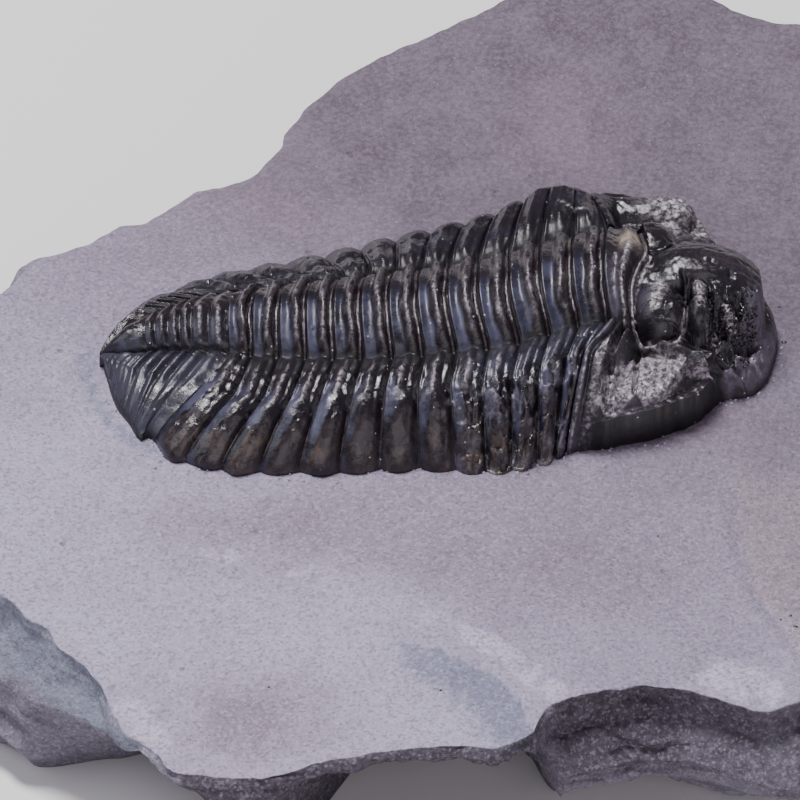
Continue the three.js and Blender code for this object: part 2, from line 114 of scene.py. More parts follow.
def lattice(points, size, seed):
    """Smooth noise from -1 to 1 with lumps of the given size, for an array of 3-D points."""
    cell = np.asarray(points, float) / size
    low = np.floor(cell).astype(np.int64)
    part = cell - low
    part = part * part * (3 - 2 * part)
    total = 0
    for corner in range(8):
        step_to = np.array([corner & 1, corner >> 1 & 1, corner >> 2 & 1])
        key = low + step_to
        mixed = key[..., 0] * 73856093 ^ key[..., 1] * 19349663 ^ key[..., 2] * 83492791 ^ seed * 2654435
        mixed = (mixed ^ (mixed >> 13)) * 1274126177 & 0x7FFFFFFF
        mixed = (mixed ^ (mixed >> 15)) * 2246822519 & 0x7FFFFFFF
        share = np.prod(np.where(step_to == 1, part, 1 - part), axis=-1)
        total = total + share * (mixed % 20011) / 20010
    return total * 2 - 1


def rough(points, size, seed, layers=3):
    """Noise of several sizes, each half as big and half as strong as the one before."""
    return sum(lattice(points, size / 2 ** k, seed + 17 * k) / 2 ** k for k in range(layers))


# The body's lines, by segment: 0 is the front of the thorax, 13 its rear, 20 the end of the tail

middle_x = curve((0, 15.4), (1, 12.4), (3, 6.8), (5, 1.3), (7, -4), (9, -9.1), (11, -14), (13, -18.7),
    (15, -22.1), (17, -25.4), (20, -30.3))
middle_y = curve((0, 4.3), (1, 3.7), (2, 2.7), (3, 1.6), (4, 0.85), (6, 0.2), (8, 0), (10, 0.2), (12, 0.5),
    (13, 0.5), (15, 0.6), (17, 0.5), (18.5, -0.1), (20, -1))
ring_half_width = curve((0, 5.9), (3, 5.7), (5, 5.5), (8, 5.4), (10, 4.9), (12, 4.2), (13, 3.7), (15, 3.1),
    (17, 2.4), (18.5, 1.75), (19.4, 1), (20, 0.2))
furrow_height = curve((0, 7.6), (2, 7.2), (4, 6.6), (7, 5.7), (10, 4.6), (13, 3.5), (15, 2.9), (17, 2.1),
    (19.3, 1.1), (20, 0.5))
ring_arch = curve((0, 2.9), (8, 2.7), (13, 2.1), (17, 1.5), (19.3, 1), (20, 0.3))
near_fulcrum = curve((0, 10.6), (3, 10.7), (6, 10.1), (9, 10.1), (12, 10), (13, 7.8), (15, 6.9), (17, 5.2),
    (18.5, 3), (19.4, 1.6), (20, 0.3))
far_fulcrum = curve((0, 11.2), (1.5, 13.2), (2.5, 13.6), (3.5, 12.7), (5.5, 11.2), (7.5, 9.6), (9.5, 7.7),
    (11.5, 6.2), (13, 5), (15, 4.2), (17, 3.1), (18.5, 2.2), (19.4, 1.3), (20, 0.25))
far_lift = curve((0, -0.8), (1, -0.35), (2.3, 0.2), (3.2, -0.2), (5.5, -0.4), (7.5, -0.6), (9.5, -0.8),
    (13, -1.2), (15, -1.1), (17, -0.8), (20, 0))
near_margin = curve((0, 15.7), (1, 15.9), (3, 15.7), (6, 14.5), (9, 15.3), (11, 15.4), (11.5, 15),
    (12.5, 14), (13, 12.1), (14.6, 11.8), (16.6, 9.6), (18, 6.65), (18.8, 4.45), (19.4, 2.3), (19.8, 1.1),
    (20, 0.4))
far_margin = curve((0, 16.4), (2.5, 17.6), (5.5, 16), (7.5, 14.4), (9.5, 12.2), (11.5, 9.9), (13, 7.7),
    (15, 6.8), (17, 5.5), (18.5, 3.6), (19.4, 2), (19.8, 1), (20, 0.4))
near_ring_lead = curve((0, 0.15), (2, 0.7), (4, 0.75), (6, 0.3), (8, 0), (12, -0.35), (20, 0))
far_ring_lead = curve((0, -0.5), (1, -0.5), (2, -0.7), (3, -0.8), (6, -0.5), (8, 0), (12, 0.3), (20, 0))
fulcrum_lead = curve((0, -2), (0.5, -1.2), (2.5, 0), (4.5, 0.2), (6.5, -0.3), (8.5, -0.95), (10.5, -1.4),
    (12.5, -1.9), (15, -2.2), (17, -1.9), (20, -0.8))
tip_lead = curve((0, -3.4), (0.5, -2.5), (1.5, -0.6), (2.5, 0.15), (3.5, 0.7), (4.5, 1), (5.5, 0.5),
    (6.5, -0.3), (7.5, -1.3), (8.5, -2.3), (9.5, -3.4), (10.5, -4.5), (11.5, -5.5), (12.5, -6.2),
    (13, -6.5), (14.6, -5.2), (16.6, -3.1), (18, -2.2), (18.8, -1.5), (19.4, -1), (20, -0.4))
CREST_REARWARD = 0.6
TIP_BULGE = 0.55

# Relief along one segment, from its front edge (0) to its rear edge (1), in mm
ring_relief = curve((0, -0.8), (0.05, -0.75), (0.08, -0.22), (0.11, -0.2), (0.15, -0.34), (0.2, 0.02),
    (0.28, 0.4), (0.36, 0.58), (0.44, 0.6), (0.52, 0.44), (0.6, 0.12), (0.67, -0.1), (0.76, -0.1),
    (0.88, 0.06), (0.94, 0.14), (0.975, 0.14), (1, -0.2))
rib_relief = curve((0, -0.6), (0.05, -0.55), (0.11, -0.15), (0.2, 0.05), (0.34, 0.1), (0.46, 0.36),
    (0.58, 0.48), (0.72, 0.26), (0.88, 0.14), (0.95, 0.2), (1, -0.16))
blade_relief = curve((0, -0.85), (0.08, -0.6), (0.18, 0), (0.26, 0.12), (0.4, 0.36), (0.6, 0.46),
    (0.8, 0.36), (0.93, 0.12), (1, -0.25))
far_blade_relief = curve((0, -0.6), (0.12, -0.2), (0.32, 0.25), (0.52, 0.38), (0.72, 0.28), (0.88, 0.02),
    (1, -0.45))
tail_relief = curve((0, -0.3), (0.15, -0.16), (0.4, 0.16), (0.55, 0.24), (0.75, 0.1), (0.9, 0.02),
    (1, -0.3))
tail_rings = curve((13, 0), (14, 1), (15, 2), (15.65, 3), (16.3, 4), (17.05, 5), (17.6, 6), (20, 9))


def shell_point(s, v, fraction):
    """Points of the body. v runs from -3 (near margin) over 0 (middle) to 3 (far margin):
    0 to 1 is the axial ring, 1 to 2 the flat part of the pleura, 2 to 3 its turned-down flank."""
    far = v > 0
    side = np.where(far, 1.0, -1.0)
    t = np.abs(v)
    ring = ring_half_width(s)
    furrow = furrow_height(s)
    fulcrum = np.where(far, far_fulcrum(s), near_fulcrum(s))
    in_thorax = s <= SEGMENTS
    fused_tips = step(3.1, 2.4, s) * far
    bulge = np.where(in_thorax, TIP_BULGE * (1 - fused_tips) * np.sin(np.pi * np.clip(fraction, 0, 1)), 0)
    margin = np.where(far, far_margin(s), near_margin(s)) + bulge
    shoulder = furrow + np.where(far, far_lift(s), 0)
    ring_lead = np.where(far, far_ring_lead(s), near_ring_lead(s))
    crest_lead = (far_ring_lead(s) + near_ring_lead(s)) / 2 - CREST_REARWARD
    fade = 1 - step(16.4, 18.2, s)
    band = np.where(in_thorax, ring_relief(fraction), tail_relief(fraction) * (0.1 + 0.9 * fade))
    fused_rib = 1 - 0.5 * step(2.3, 1.9, s) * step(1.4, 1.8, t) * far
    tail_rib = tail_relief(fraction) * (0.15 + 0.9 * fade)
    inner_rib = np.where(in_thorax, rib_relief(fraction) * fused_rib, tail_rib)
    fused = 1 - 0.9 * step(3.1, 2.6, s) * step(1.85, 2.1, t) * far
    blade = np.where(far, far_blade_relief(fraction) * fused, blade_relief(fraction))
    outer_rib = np.where(in_thorax, blade, tail_relief(fraction) * (0.15 + 0.5 * fade))
    u1 = np.clip(t, 0, 1)
    u2 = np.clip(t - 1, 0, 1)
    u3 = np.clip(t - 2, 0, 1)
    out = ring * u1 + (fulcrum - ring) * u2 + (margin - fulcrum) * u3 ** 1.05
    knob = 0.4 * hump(v, 0.8, 0.17) * np.sin(np.pi * np.clip(fraction, 0, 1)) * in_thorax
    on_ring = furrow + ring_arch(s) * np.cos(u1 * np.pi / 2) ** 0.75 + band * (1 - 0.5 * u1 ** 6) + knob
    on_flat = (furrow + (shoulder - furrow) * u2 + 0.45 * np.sin(np.pi * u2)
               + 0.5 * band * (1 - step(0, 0.35, u2)) + inner_rib * step(0.02, 0.3, u2))
    rib = inner_rib * (1 - step(0, 0.25, u3)) + outer_rib * step(0, 0.25, u3)
    on_flank = shoulder * np.cos(u3 * np.pi / 2) ** 0.8 + rib * (1 - 0.55 * u3) + 0.15 * u3
    up = np.where(t <= 1, on_ring, np.where(t <= 2, on_flat, on_flank))
    up = up - 0.42 * hump(t, 1.03, 0.07) * step(0.4, 2, ring)
    roof = (furrow + ring_arch(s)) * np.cos(np.clip(out / margin, 0, 1) * np.pi / 2) ** 0.72
    roof = roof + band * (1 - 0.4 * u3)
    tail_side = step(11.6, 14.6, s) * far
    up = up * (1 - tail_side) + roof * tail_side
    on_ring = crest_lead + (ring_lead - crest_lead) * u1 ** 2
    on_flat = ring_lead + (fulcrum_lead(s) - ring_lead) * u2 ** 1.4
    on_flank = fulcrum_lead(s) + (tip_lead(s) - fulcrum_lead(s)) * u3 ** (1.2 + 1.6 * tail_side)
    lead = np.where(t <= 1, on_ring, np.where(t <= 2, on_flat, on_flank))
    return np.stack([middle_x(s) + lead, middle_y(s) + side * out, up], axis=-1)


# Mesh tools


def into_frame(points):
    return (np.asarray(points) + SLAB_SHIFT) * MM


def placed(name, data):
    """An object with the given data, in the scene."""
    thing = bpy.data.objects.new(name, data)
    bpy.context.scene.collection.objects.link(thing)
    return thing


def put_mask(mesh, name, values):
    layer = mesh.attributes.new(name, "FLOAT", "POINT")
    layer.data.foreach_set("value", np.asarray(values, dtype=np.float32).ravel())


def new_object(name, vertices, faces, masks=None):
    """A mesh object from points in mm and faces, with per-point masks kept as attributes."""
    mesh = bpy.data.meshes.new(name)
    mesh.from_pydata(into_frame(vertices).tolist(), [], faces)
    mesh.validate()
    for key, values in (masks or {}).items():
        put_mask(mesh, key, values)
    mesh.polygons.foreach_set("use_smooth", [True] * len(mesh.polygons))
    mesh.update()
    return placed(name, mesh)


def plate_object(name, grid, masks, floor=-SEAT_DEPTH):
    """A closed plate: a grid of top points, walls down to a flat underside."""
    rows, columns = grid.shape[:2]
    index = np.arange(rows * columns).reshape(rows, columns)
    a, b, c, d = index[:-1, :-1], index[1:, :-1], index[1:, 1:], index[:-1, 1:]
    faces = np.stack([a, b, c, d], axis=-1).reshape(-1, 4).tolist()
    rim = list(index[0]) + list(index[1:, -1]) + list(index[-1, -2::-1]) + list(index[-2:0:-1, 0])
    points = grid.reshape(-1, 3)
    first = len(points)
    feet = points[rim].copy()
    feet[:, 2] = floor
    place = {int(top): first + i for i, top in enumerate(rim)}
    for i, top in enumerate(rim):
        after = rim[(i + 1) % len(rim)]
        faces.append([int(top), int(after), place[int(after)], place[int(top)]])
    for col in range(columns - 1):
        faces.append([place[int(index[0, col])], place[int(index[0, col + 1])],
                      place[int(index[-1, col + 1])], place[int(index[-1, col])]])
    for col in (0, columns - 1):
        faces.append([place[int(i)] for i in index[:, col]][:: -1 if col == 0 else 1])
    everything = np.concatenate([points, feet])
    spread = {key: np.concatenate([value.ravel(), value.ravel()[rim]]) for key, value in masks.items()}
    return new_object(name, everything, turned_outward(grid, faces), spread)


def turned_outward(grid, faces):
    """The faces, all turned over if the top grid's faces look down."""
    one = grid[1:, 1:, :2] - grid[:-1, :-1, :2]
    other = grid[:-1, 1:, :2] - grid[1:, :-1, :2]
    area = np.sum(one[..., 0] * other[..., 1] - one[..., 1] * other[..., 0])
    return [face[::-1] for face in faces] if area < 0 else faces


# The thorax: thirteen plates, each an axial ring with a pleura on either side

PLATE_ROWS = 30
TAIL_ROWS = 150
ACROSS = np.concatenate([np.linspace(-3, -2, 34, endpoint=False), np.linspace(-2, -1, 24, endpoint=False),
                         np.linspace(-1, 1, 46, endpoint=False), np.linspace(1, 2, 24, endpoint=False),
                         np.linspace(2, 3, 35)])
OVERLAP = 0.03  # how far, in segments, a plate's rear edge lies over the next plate

# Pits in the shell: x, y, half width, depth
TAIL_PITS = [(-30.0, -4.2, 0.35, 0.9), (-26.6, -11.3, 0.4, 0.9)]
PITS = [(6.8, -10.0, 0.3, 0.9), (10.5, -8.0, 0.32, 1.0), (8.5, -10.6, 0.45, 1.1), (7.6, -11.8, 0.5, 1.1),
    (9.4, -11.4, 0.55, 1.2), (3.2, -10.8, 0.5, 0.7), (-18.7, -6.6, 0.24, 0.7), (-17.3, 1.4, 0.24, 0.5),
    (11.2, -11.0, 0.5, 1.1), (5.2, -12.2, 0.4, 0.8)]


def damage(points, s, v):
    """How far the shell is sunk at broken places, in mm: the near tips behind the head, small chips and pits.
    """
    tips = step(1.8, 2.5, -v) * step(6.2, 3.4, s) * step(0.0, 0.8, s)
    ragged = np.clip(rough(points, 1.3, 5) + 0.3, 0, 1) + 0.5 * np.clip(rough(points, 0.6, 7, 2), 0, 1)
    chips = np.clip(rough(points, 0.7, 9, 2) - 0.95, 0, 1) * 1.2
    return tips * ragged * 1.3 + chips + spots(points[..., 0], points[..., 1], PITS)


def tergite(number):
    """One plate of the thorax, counted from the head."""
    front, rear = number - 1 - 0.01, number + OVERLAP
    along = 1 - (1 - np.linspace(0, 1, PLATE_ROWS)) ** 1.15
    s, v = np.meshgrid(front + (rear - front) * along, ACROSS, indexing="ij")
    fraction = np.clip(s - (number - 1), 0, 1 + OVERLAP)
    wander = 0.07 * lattice(flat_points(v * 3, v * 0 + number * 9), 1, 53)
    wander = wander * np.sin(np.pi * fraction.clip(0, 1))
    grid = shell_point(s, v, fraction + wander)
    fused_tips = step(3.1, 2.6, s) * step(1.9, 2.1, v)
    smooth = step(-1.25, -0.95, v) * step(1.1, 0.9, v)
    grid[..., 2] += (0.09 - 0.05 * smooth) * rough(grid, 1.5, number) - damage(grid, s, v)
    grid[..., 2] += (0.035 - 0.025 * smooth) * rough(grid, 0.6, number + 20, 2)
    grid[..., 2] += 0.07 * rough(grid, 0.75, number + 40, 2) * step(-1.2, -1.7, v)
    grid[..., 2] = np.maximum(grid[..., 2], SHELL_FOOT)
    ring_share = 1 - step(1.0, 1.06, np.abs(v))
    edge = 0.07 * rough(grid, 1.2, 61) + 0.2 * step(-2.3, -2.95, v)
    fraction = fraction + wander
    rear_band = step(0.6, 0.67, fraction - edge) * step(0.985, 0.955, fraction)
    lit = step(0.25, 0.05, v + 0.15 * lattice(grid, 2.5, number)) * step(-0.92, -0.8, v)
    broken = np.clip(0.8 + 1.0 * rough(grid, 1.1, 63, 2), 0.05, 1.6)
    broken = broken * (1 - 0.6 * step(-1.2, -1.6, v) * step(3.6, 1.6, s))
    fresh = step(1.9, 2.5, -v) * step(5.4, 3.4, s) * step(0.0, 0.4, rough(grid, 0.9, 69))
    on_flank = 0.75 + 0.9 * rough(grid, 1.8, 65) - 0.5 * step(-2.45, -2.8, v)
    scratch = bar(grid[..., 0], grid[..., 1], (10.2, 14.1), (13.2, 12.8), 0.15)
    masks = {
        # blue-grey on the rear bands of the near half and near flank: partly the shell's tone, partly a
        # painted sheen
        "blue": rear_band * ring_share * step(0.25, -0.3, v) * (0.9 + 0.6 * rough(grid, 2.2, 67))
        + rear_band * step(-1.7, -2.05, v) * on_flank + 0.6 * fresh
        + 0.12 * step(1.1, 1.5, v) * (0.6 + rough(grid, 1.4, 66))
        + 0.45 * between(v, -1.15, -1.3, -1.75, -2.0) * step(5.2, 3.6, s),
        "brown": (1 - rear_band) * (ring_share * 0.8 + 0.9 * step(-2.3, -2.6, v) + 0.3 * step(1, 2, v))
        + 0.5 * ring_share * step(0, 0.3, v) * step(0.2, 0.7, fraction),
        # painted highlights along the ring's crest and front lip and along the pleural ridges and rear edges,
        # with silvery wear on fresh breaks and a scratch
        "worn": broken * lit * (0.4 * hump(fraction, 0.42, 0.08) + 1.0 * hump(fraction, 0.095, 0.02))
        + broken * 0.55 * between(v, -1.35, -1.7, -2.0, -2.3) * hump(fraction + edge, 0.55, 0.09)
        + broken * 0.4 * between(v, -1.6, -1.8, -2.35, -2.6) * hump(fraction, 0.945, 0.016)
        + 0.25 * fresh + 1.3 * scratch,
        "tan": 0.16 * step(-2.5, -2.85, v) * step(0.08, 0.2, fraction) * (1 - rear_band)
        * step(-0.5, 0.6, rough(grid, 1.5, 68)),
        # painted shade in the groove under the plate in front, along both axial furrows and on the low inner
        # pleura
        "painted_shade": step(0.09, 0.04, fraction) * (1 - fused_tips) + hump(v, -1.04, 0.06)
        + 0.9 * hump(v, 1.1, 0.22) + 0.6 * between(v, -1.05, -1.15, -1.4, -1.6),
    }
    return plate_object(f"tergite_{number:02d}", grid, masks)


def tail_shield():
    """The pygidium: rings and ribs that fade towards its rounded rear edge."""
    front = SEGMENTS - 0.02
    along = front + (TAIL_END - front) * np.linspace(0, 1, TAIL_ROWS) ** 0.95
    s, v = np.meshgrid(along, np.linspace(-3, 3, TAIL_ROWS), indexing="ij")
    phase = tail_rings(s)
    fraction = phase - np.floor(phase)
    grid = shell_point(np.maximum(s, SEGMENTS + 0.001), v, fraction)
    out = np.abs(v)
    fine = np.sin(s * 2 * np.pi * 2.3 + out * 1.5) * 0.04 * step(-1.3, -2, v) * step(14, 15, s)
    grid[..., 2] += fine + 0.07 * rough(grid, 1.1, 71)
    grid[..., 2] -= spots(grid[..., 0], grid[..., 1], TAIL_PITS)
    grid[..., 2] = np.maximum(grid[..., 2], 0.1)
    ragged = np.clip(0.7 + 0.9 * rough(grid, 1.0, 73, 2), 0, 1.2)
    masks = {
        # blue-grey on the near side: partly the shell's tone, partly a painted sheen
        "blue": 0.75 * step(1.05, 1.5, out) * step(0, -1, v)
        + 0.8 * step(0.55, 0.65, fraction) * hump(v, -0.65, 0.35)
        + 0.8 * step(17.6, 18.6, s) * hump(v, -0.8, 0.3),
        "brown": 0.7 * step(-0.4, 0.1, v)
        + 0.5 * step(-1.1, -1.6, v) * step(0.5, 0.2, fraction) * step(17, 15, s),
        # painted highlights along the crests of the tail's rings and ribs
        "worn": ragged * hump(fraction, 0.5, 0.09) * step(17.6, 15, s)
        * (step(0.2, 0, v) * step(-0.95, -0.85, v) + 0.6 * hump(v, -1.6, 0.3)),
        # painted shade at the very margin and along the near axial furrow
        "painted_shade": step(2.94, 3.0, out) + 0.8 * hump(out, 1.04, 0.06) * (v < 0),
    }
    return plate_object("tail_shield", grid, masks)


# The head

HEAD_MARGIN = [(13.2, -11.2), (15.8, -10.5), (18.6, -9.4), (20.6, -8.5), (22.3, -7.6), (23.9, -6.4),
    (25, -4.8), (26.1, -3.8), (27.4, -3.4), (28.7, -2.6), (29.7, -1), (30.4, 1.6), (30.6, 4.4), (30, 7.6),
    (28.2, 10.4), (25.8, 12.8), (24.0, 15.0), (22.6, 17.7), (20.4, 19.5), (17, 20.2), (14.6, 20.4)]
NEAR_SUTURE = [(11, -10.1), (14.5, -9.6), (18.7, -7.9), (22.2, -5.7), (24.8, -3.6), (26.3, -2.7),
    (28.4, -5.4)]
FAR_SUTURE = [(12.6, 18.9), (16.2, 18.3), (18.4, 16.9), (20.6, 14.9), (22.6, 13.5), (27, 14.8)]
# Rounded lobes: middle, half lengths along x and y, and the heights of the foot and the top
Lobe = namedtuple("Lobe", "x y long wide foot top")
DOME = Lobe(22.3, 4.5, 5.4, 5.6, 4.4, 10.1)
MIDDLE_LINE = 5  # the animal's middle line, in y, runs about here through the head
DOME_FRONT = 8.0  # half length of the part in front of its middle
NECK = Lobe(19.3, 4.6, 2.8, 5.2, 7.2, 9.0)
NEAR_LOBE = Lobe(19.85, 0.7, 2.45, 3.6, 6.3, 8.9)
SIDE_LOBES = [NEAR_LOBE, Lobe(18.8, 8.9, 2.6, 2.8, 6.6, 9.2), Lobe(23.5, 0.4, 1.2, 2.2, 6.2, 8.5),
    Lobe(23.4, 9.2, 1.2, 1.7, 6.0, 7.6)]
LOBE_BUMP = Lobe(21.0, -0.5, 1.35, 1.7, 6.6, 8.9)
# The raised line round the near side lobe, painted bright as a highlight
RIM_LINE = [(18.9, 5.6), (18.3, 3.4), (17.75, 1.7), (17.5, -0.1), (17.55, -1.5), (18.4, -2.55),
    (19.7, -3.1), (20.9, -3.2), (21.8, -2.6), (22.25, -1.2), (22.3, 0.6)]
occipital_length = curve((-1.2, 2.1), (-0.9, 2.4), (-0.5, 2.75), (-0.2, 3.4), (0.15, 4.2), (0.5, 3.9),
    (0.8, 3.4), (1.1, 3))
LEDGE = [(19.2, -3.0), (22.0, -3.5), (24.7, -4.4), (22.3, -5.4)]
# The silvery broken ledge on the near side, as corner points in x and y
SILVER = [[(18.4, -5.0), (20.4, -4.7), (22.3, -5.0), (22.2, -5.9), (21.2, -7.3), (20.0, -8.2), (19.0, -8.6),
    (18.2, -8.2), (17.9, -6.6)], [(18.3, -4.9), (17.3, -5.3), (16.0, -7.3), (15.1, -9.0), (14.7, -10.1),
    (15.6, -10.3), (16.8, -9.7), (17.6, -8.6), (18.1, -6.8)]]


def inside(x, y, corners):
    """How far inside a convex outline, in mm; below 0 outside it."""
    line = np.array(corners, float)
    turn = np.sum(line[:, 0] * np.roll(line[:, 1], -1) - np.roll(line[:, 0], -1) * line[:, 1])
    depth = np.full(np.shape(x), 9.0)
    for a, b in zip(line, np.roll(line, -1, axis=0)):
        run = b - a
        away = (run[0] * (y - a[1]) - run[1] * (x - a[0])) / np.hypot(*run) * np.sign(turn)
        depth = np.minimum(depth, away)
    return depth


STEPS_PER_KNOT = 40


def run_along(line):
    """How far along a line each of its points lies, from its start."""
    return np.concatenate(([0], np.cumsum(np.hypot(*np.diff(line, axis=0).T))))


def evenly(line, run, even):
    return np.stack([np.interp(even, run, line[:, 0]), np.interp(even, run, line[:, 1])], axis=-1)


def smooth_line(points, count):
    """Evenly spaced points along a Catmull-Rom line."""
    knots = np.array([points[0]] + list(points) + [points[-1]], float)
    knots[0] = 2 * knots[1] - knots[2]
    knots[-1] = 2 * knots[-2] - knots[-3]
    fine = []
    for p0, p1, p2, p3 in zip(knots, knots[1:], knots[2:], knots[3:]):
        for t in np.linspace(0, 1, STEPS_PER_KNOT, endpoint=False):
            fine.append(0.5 * (2 * p1 + (p2 - p0) * t + (2 * p0 - 5 * p1 + 4 * p2 - p3) * t ** 2
                               + (3 * p1 - p0 - 3 * p2 + p3) * t ** 3))
    fine.append(knots[-2])
    fine = np.array(fine)
    run = run_along(fine)
    return evenly(fine, run, np.linspace(0, run[-1], count))


def from_stretch(x, y, start, end):
    """Distance from a straight stretch between two points."""
    (ax, ay), (bx, by) = start, end
    t = np.clip(((x - ax) * (bx - ax) + (y - ay) * (by - ay)) / ((bx - ax) ** 2 + (by - ay) ** 2), 0, 1)
    return np.hypot(x - ax - t * (bx - ax), y - ay - t * (by - ay))


def bar(x, y, start, end, half):
    """1 along a bar from start to end, falling to 0 over half its width."""
    return np.clip(1 - (from_stretch(x, y, start, end) / half) ** 2, 0, 1)


def beside(x, y, line, half):
    """1 on a line of several points, falling to 0 over half its width."""
    return np.max([bar(x, y, a, b, half) for a, b in zip(line, line[1:])], axis=0)


def ragged_edge(x, y):
    return 0.22 * rough(flat_points(x, y), 1.3, 47, 2)


def lobe_reach(x, y, lobe):
    """0 in the middle of a lobe, 1 on its outline."""
    return np.hypot((x - lobe.x) / lobe.long, (y - lobe.y) / lobe.wide)


def lobe_height(lobe, reach, foot=None):
    foot = lobe.foot if foot is None else foot
    return foot + (lobe.top - foot) * np.sqrt(np.clip(1 - reach ** 2, 0, 1))


def head_height(x, y, v, inward, behind, rear_height):
    """The head's surface over points given by place, by column, and by distance from margin and rear edge."""
    near = step(0, -4, y)
    cheek = 4.6 * (1 - (1 - np.clip(inward / (3.4 - 0.8 * near), 0, 1)) ** 2.2)
    away = np.hypot((x - DOME.x) / np.where(x > DOME.x, DOME_FRONT, DOME.long), (y - DOME.y) / DOME.wide)
    height = np.where(away < 1, soft_max(lobe_height(DOME, away), cheek, 0.6), cheek)
    away = lobe_reach(x, y, NECK)
    height = np.where(away < 1, soft_max(height, lobe_height(NECK, away), 0.5), height)
    for lobe in SIDE_LOBES:
        near_lobe = lobe.y < MIDDLE_LINE
        away = lobe_reach(x, y, lobe)
        inner = 1.9 * step(0, 3.4, (y - lobe.y) * (1 if near_lobe else -1)) * (lobe.long > 1.9)
        body = lobe_height(lobe, away, lobe.foot + inner)
        joined = step(1.2, 2.6, y - lobe.y) * near_lobe
        groove = 0.75 * hump(away, 1.02, 0.09) * (1 - joined)
        height = height - groove * step(lobe.foot - 1.5, lobe.foot, height)
        blended = (joined > 0.02) | (not near_lobe)
        height = np.where(away < 1, np.where(blended, soft_max(body, height, 0.4), body), height)
    away = lobe_reach(x, y, NEAR_LOBE)
    collar = (6.5 - 3 * (away - 1)) * step(1.0, 1.04, away) * step(3, 1.5, y)
    collar = collar * step(23.6, 22.6, x) * step(16.2, 17.2, x)
    height = soft_max(height, collar, 0.15)
    away = lobe_reach(x, y, LOBE_BUMP)
    height = np.where(away < 1, soft_max(height, lobe_height(LOBE_BUMP, away), 0.15), height)
    height = height - 0.55 * spot(x, y, 23.6, 2.3, 1.7, 0.5)
    height = height + 0.32 * np.sqrt(beside(x, y, RIM_LINE[3:], 0.17))
    height = height - 0.9 * spot(x, y, 18.9, -3.4, 2.4, 0.95)
    height = soft_max(height, (6.4 + 0.7 * (y + 4)) * step(-0.35, 0.25, inside(x, y, LEDGE)), 0.25)
    for corners in SILVER:
        depth = inside(x, y, corners) + ragged_edge(x, y)
        top = 5.5 + 0.52 * np.minimum(y + 5.6, 0.4) + 0.04 * (x - 19)
        height = np.where(depth > -0.5, soft_max(height, top * step(-0.4, 0.15, depth), 0.2), height)
    height = height - 0.8 * bar(x, y, (18.1, -5.0), (17.9, -8.0), 0.3)
    eye_ridge = bar(x, y, (15.2, 16.6), (20.6, 17.0), 2.2)
    height = soft_max(3.4 + 2.2 * np.sqrt(eye_ridge), height, 0.4)
    lip_width = 1.0 + 1.5 * step(3.5, -2, y)
    front = step(24.5, 26.5, x) * (1 - step(lip_width, lip_width + 0.7, inward))
    lip = 2.7 * np.sqrt(np.clip(1 - (1 - inward / lip_width) ** 2, 0, 1))
    height = height * (1 - front) + np.maximum(lip, 0.4) * front
    return rear_border(height, x, y, v, behind, rear_height)


def rear_border(height, x, y, v, behind, rear_height):
    """The occipital ring and the folds beside it, which carry on the shapes of the thorax."""
    rear_height = rear_height + 0.36
    length = occipital_length(v)
    in_ring = step(1.16, 1.0, np.abs(v))
    fraction = np.clip(1 - behind / length, 0, 1)
    ring = rear_height - 0.35 + ring_relief(fraction) - 0.55 * step(0.5, 0.3, fraction)
    share = in_ring * (1 - step(0.94, 1.0, behind / length))
    height = height * (1 - share) + ring * share
    fold = step(-0.95, -1.2, v)
    wavy = behind + 0.3 * lattice(flat_points(x, y), 2.2, 45)
    slope = (rear_height - 0.25 + 0.35 * hump(wavy, 0.3, 0.3) - 0.35 * hump(wavy, 0.75, 0.2)
             + 1.0 * np.sqrt(hump(wavy, 1.75, 0.95)) - 0.35 * hump(wavy, 2.85, 0.25) - 0.3 * behind)
    share = fold * (1 - step(2.3, 3.3, behind))
    height = height * (1 - share) + slope * share
    gap = bar(x, y, (16.9, -2.9), (15.9, -5.9), 0.45) + bar(x, y, (15.9, -5.9), (15.2, -9.4), 0.45)
    height = height - 1.7 * np.clip(gap, 0, 1) - 1.6 * spot(x, y, 17.9, -2.7, 1.1, 0.8)
    far_blend = step(1.05, 1.2, v) * (1 - step(0.2, 2.2, behind))
    return height * (1 - far_blend) + (rear_height - 0.3) * far_blend


# The torn patch on the snout: x, y, half width, and depth or height
CRUST_HOLES = [(25.1, 0.1, 0.5, 1.5), (27.0, 1.1, 0.5, 1.9), (28.3, 0.7, 0.45, 1.4),
    (27.5, -0.6, 0.55, 1.4), (25.5, -0.6, 0.5, 1.3), (27.2, -2.5, 0.4, 1.0), (24.6, -1.6, 0.35, 0.9),
    (26.2, 3.3, 0.3, 0.5), (28.3, 3.1, 0.3, 0.7), (25.6, -2.4, 0.4, 1.2)]
CRUST_BLOBS = [(27.5, -1.7, 0.5, 0.9), (27.3, -3.2, 0.4, 0.8), (26.6, -2.9, 0.5, 0.8),
    (26.3, 0.4, 0.5, 0.5), (25.7, -1.4, 0.4, 0.6), (27.8, 2.0, 0.4, 0.6), (24.4, -0.4, 0.4, 0.5),
    (26.7, -1.3, 0.35, 0.5)]

# Silvery places on the head, partly wear and partly painted highlights on its lobes: x, y, half widths,
# strength
HEAD_WEAR_AND_HIGHLIGHTS = [(20.7, 17.2, 2.3, 1.6, 1.0), (21, 14.9, 2.2, 1.4, 0.35), (19.9, 1.4, 0.7, 0.84, 0.6),
    (23.5, 0.3, 0.5, 0.5, 0.5)]


def crust_reach(x, y):
    """Distance from the middle of the torn patch on the snout."""
    return np.hypot((x - 26.7) / 1.1, y + 0.4)


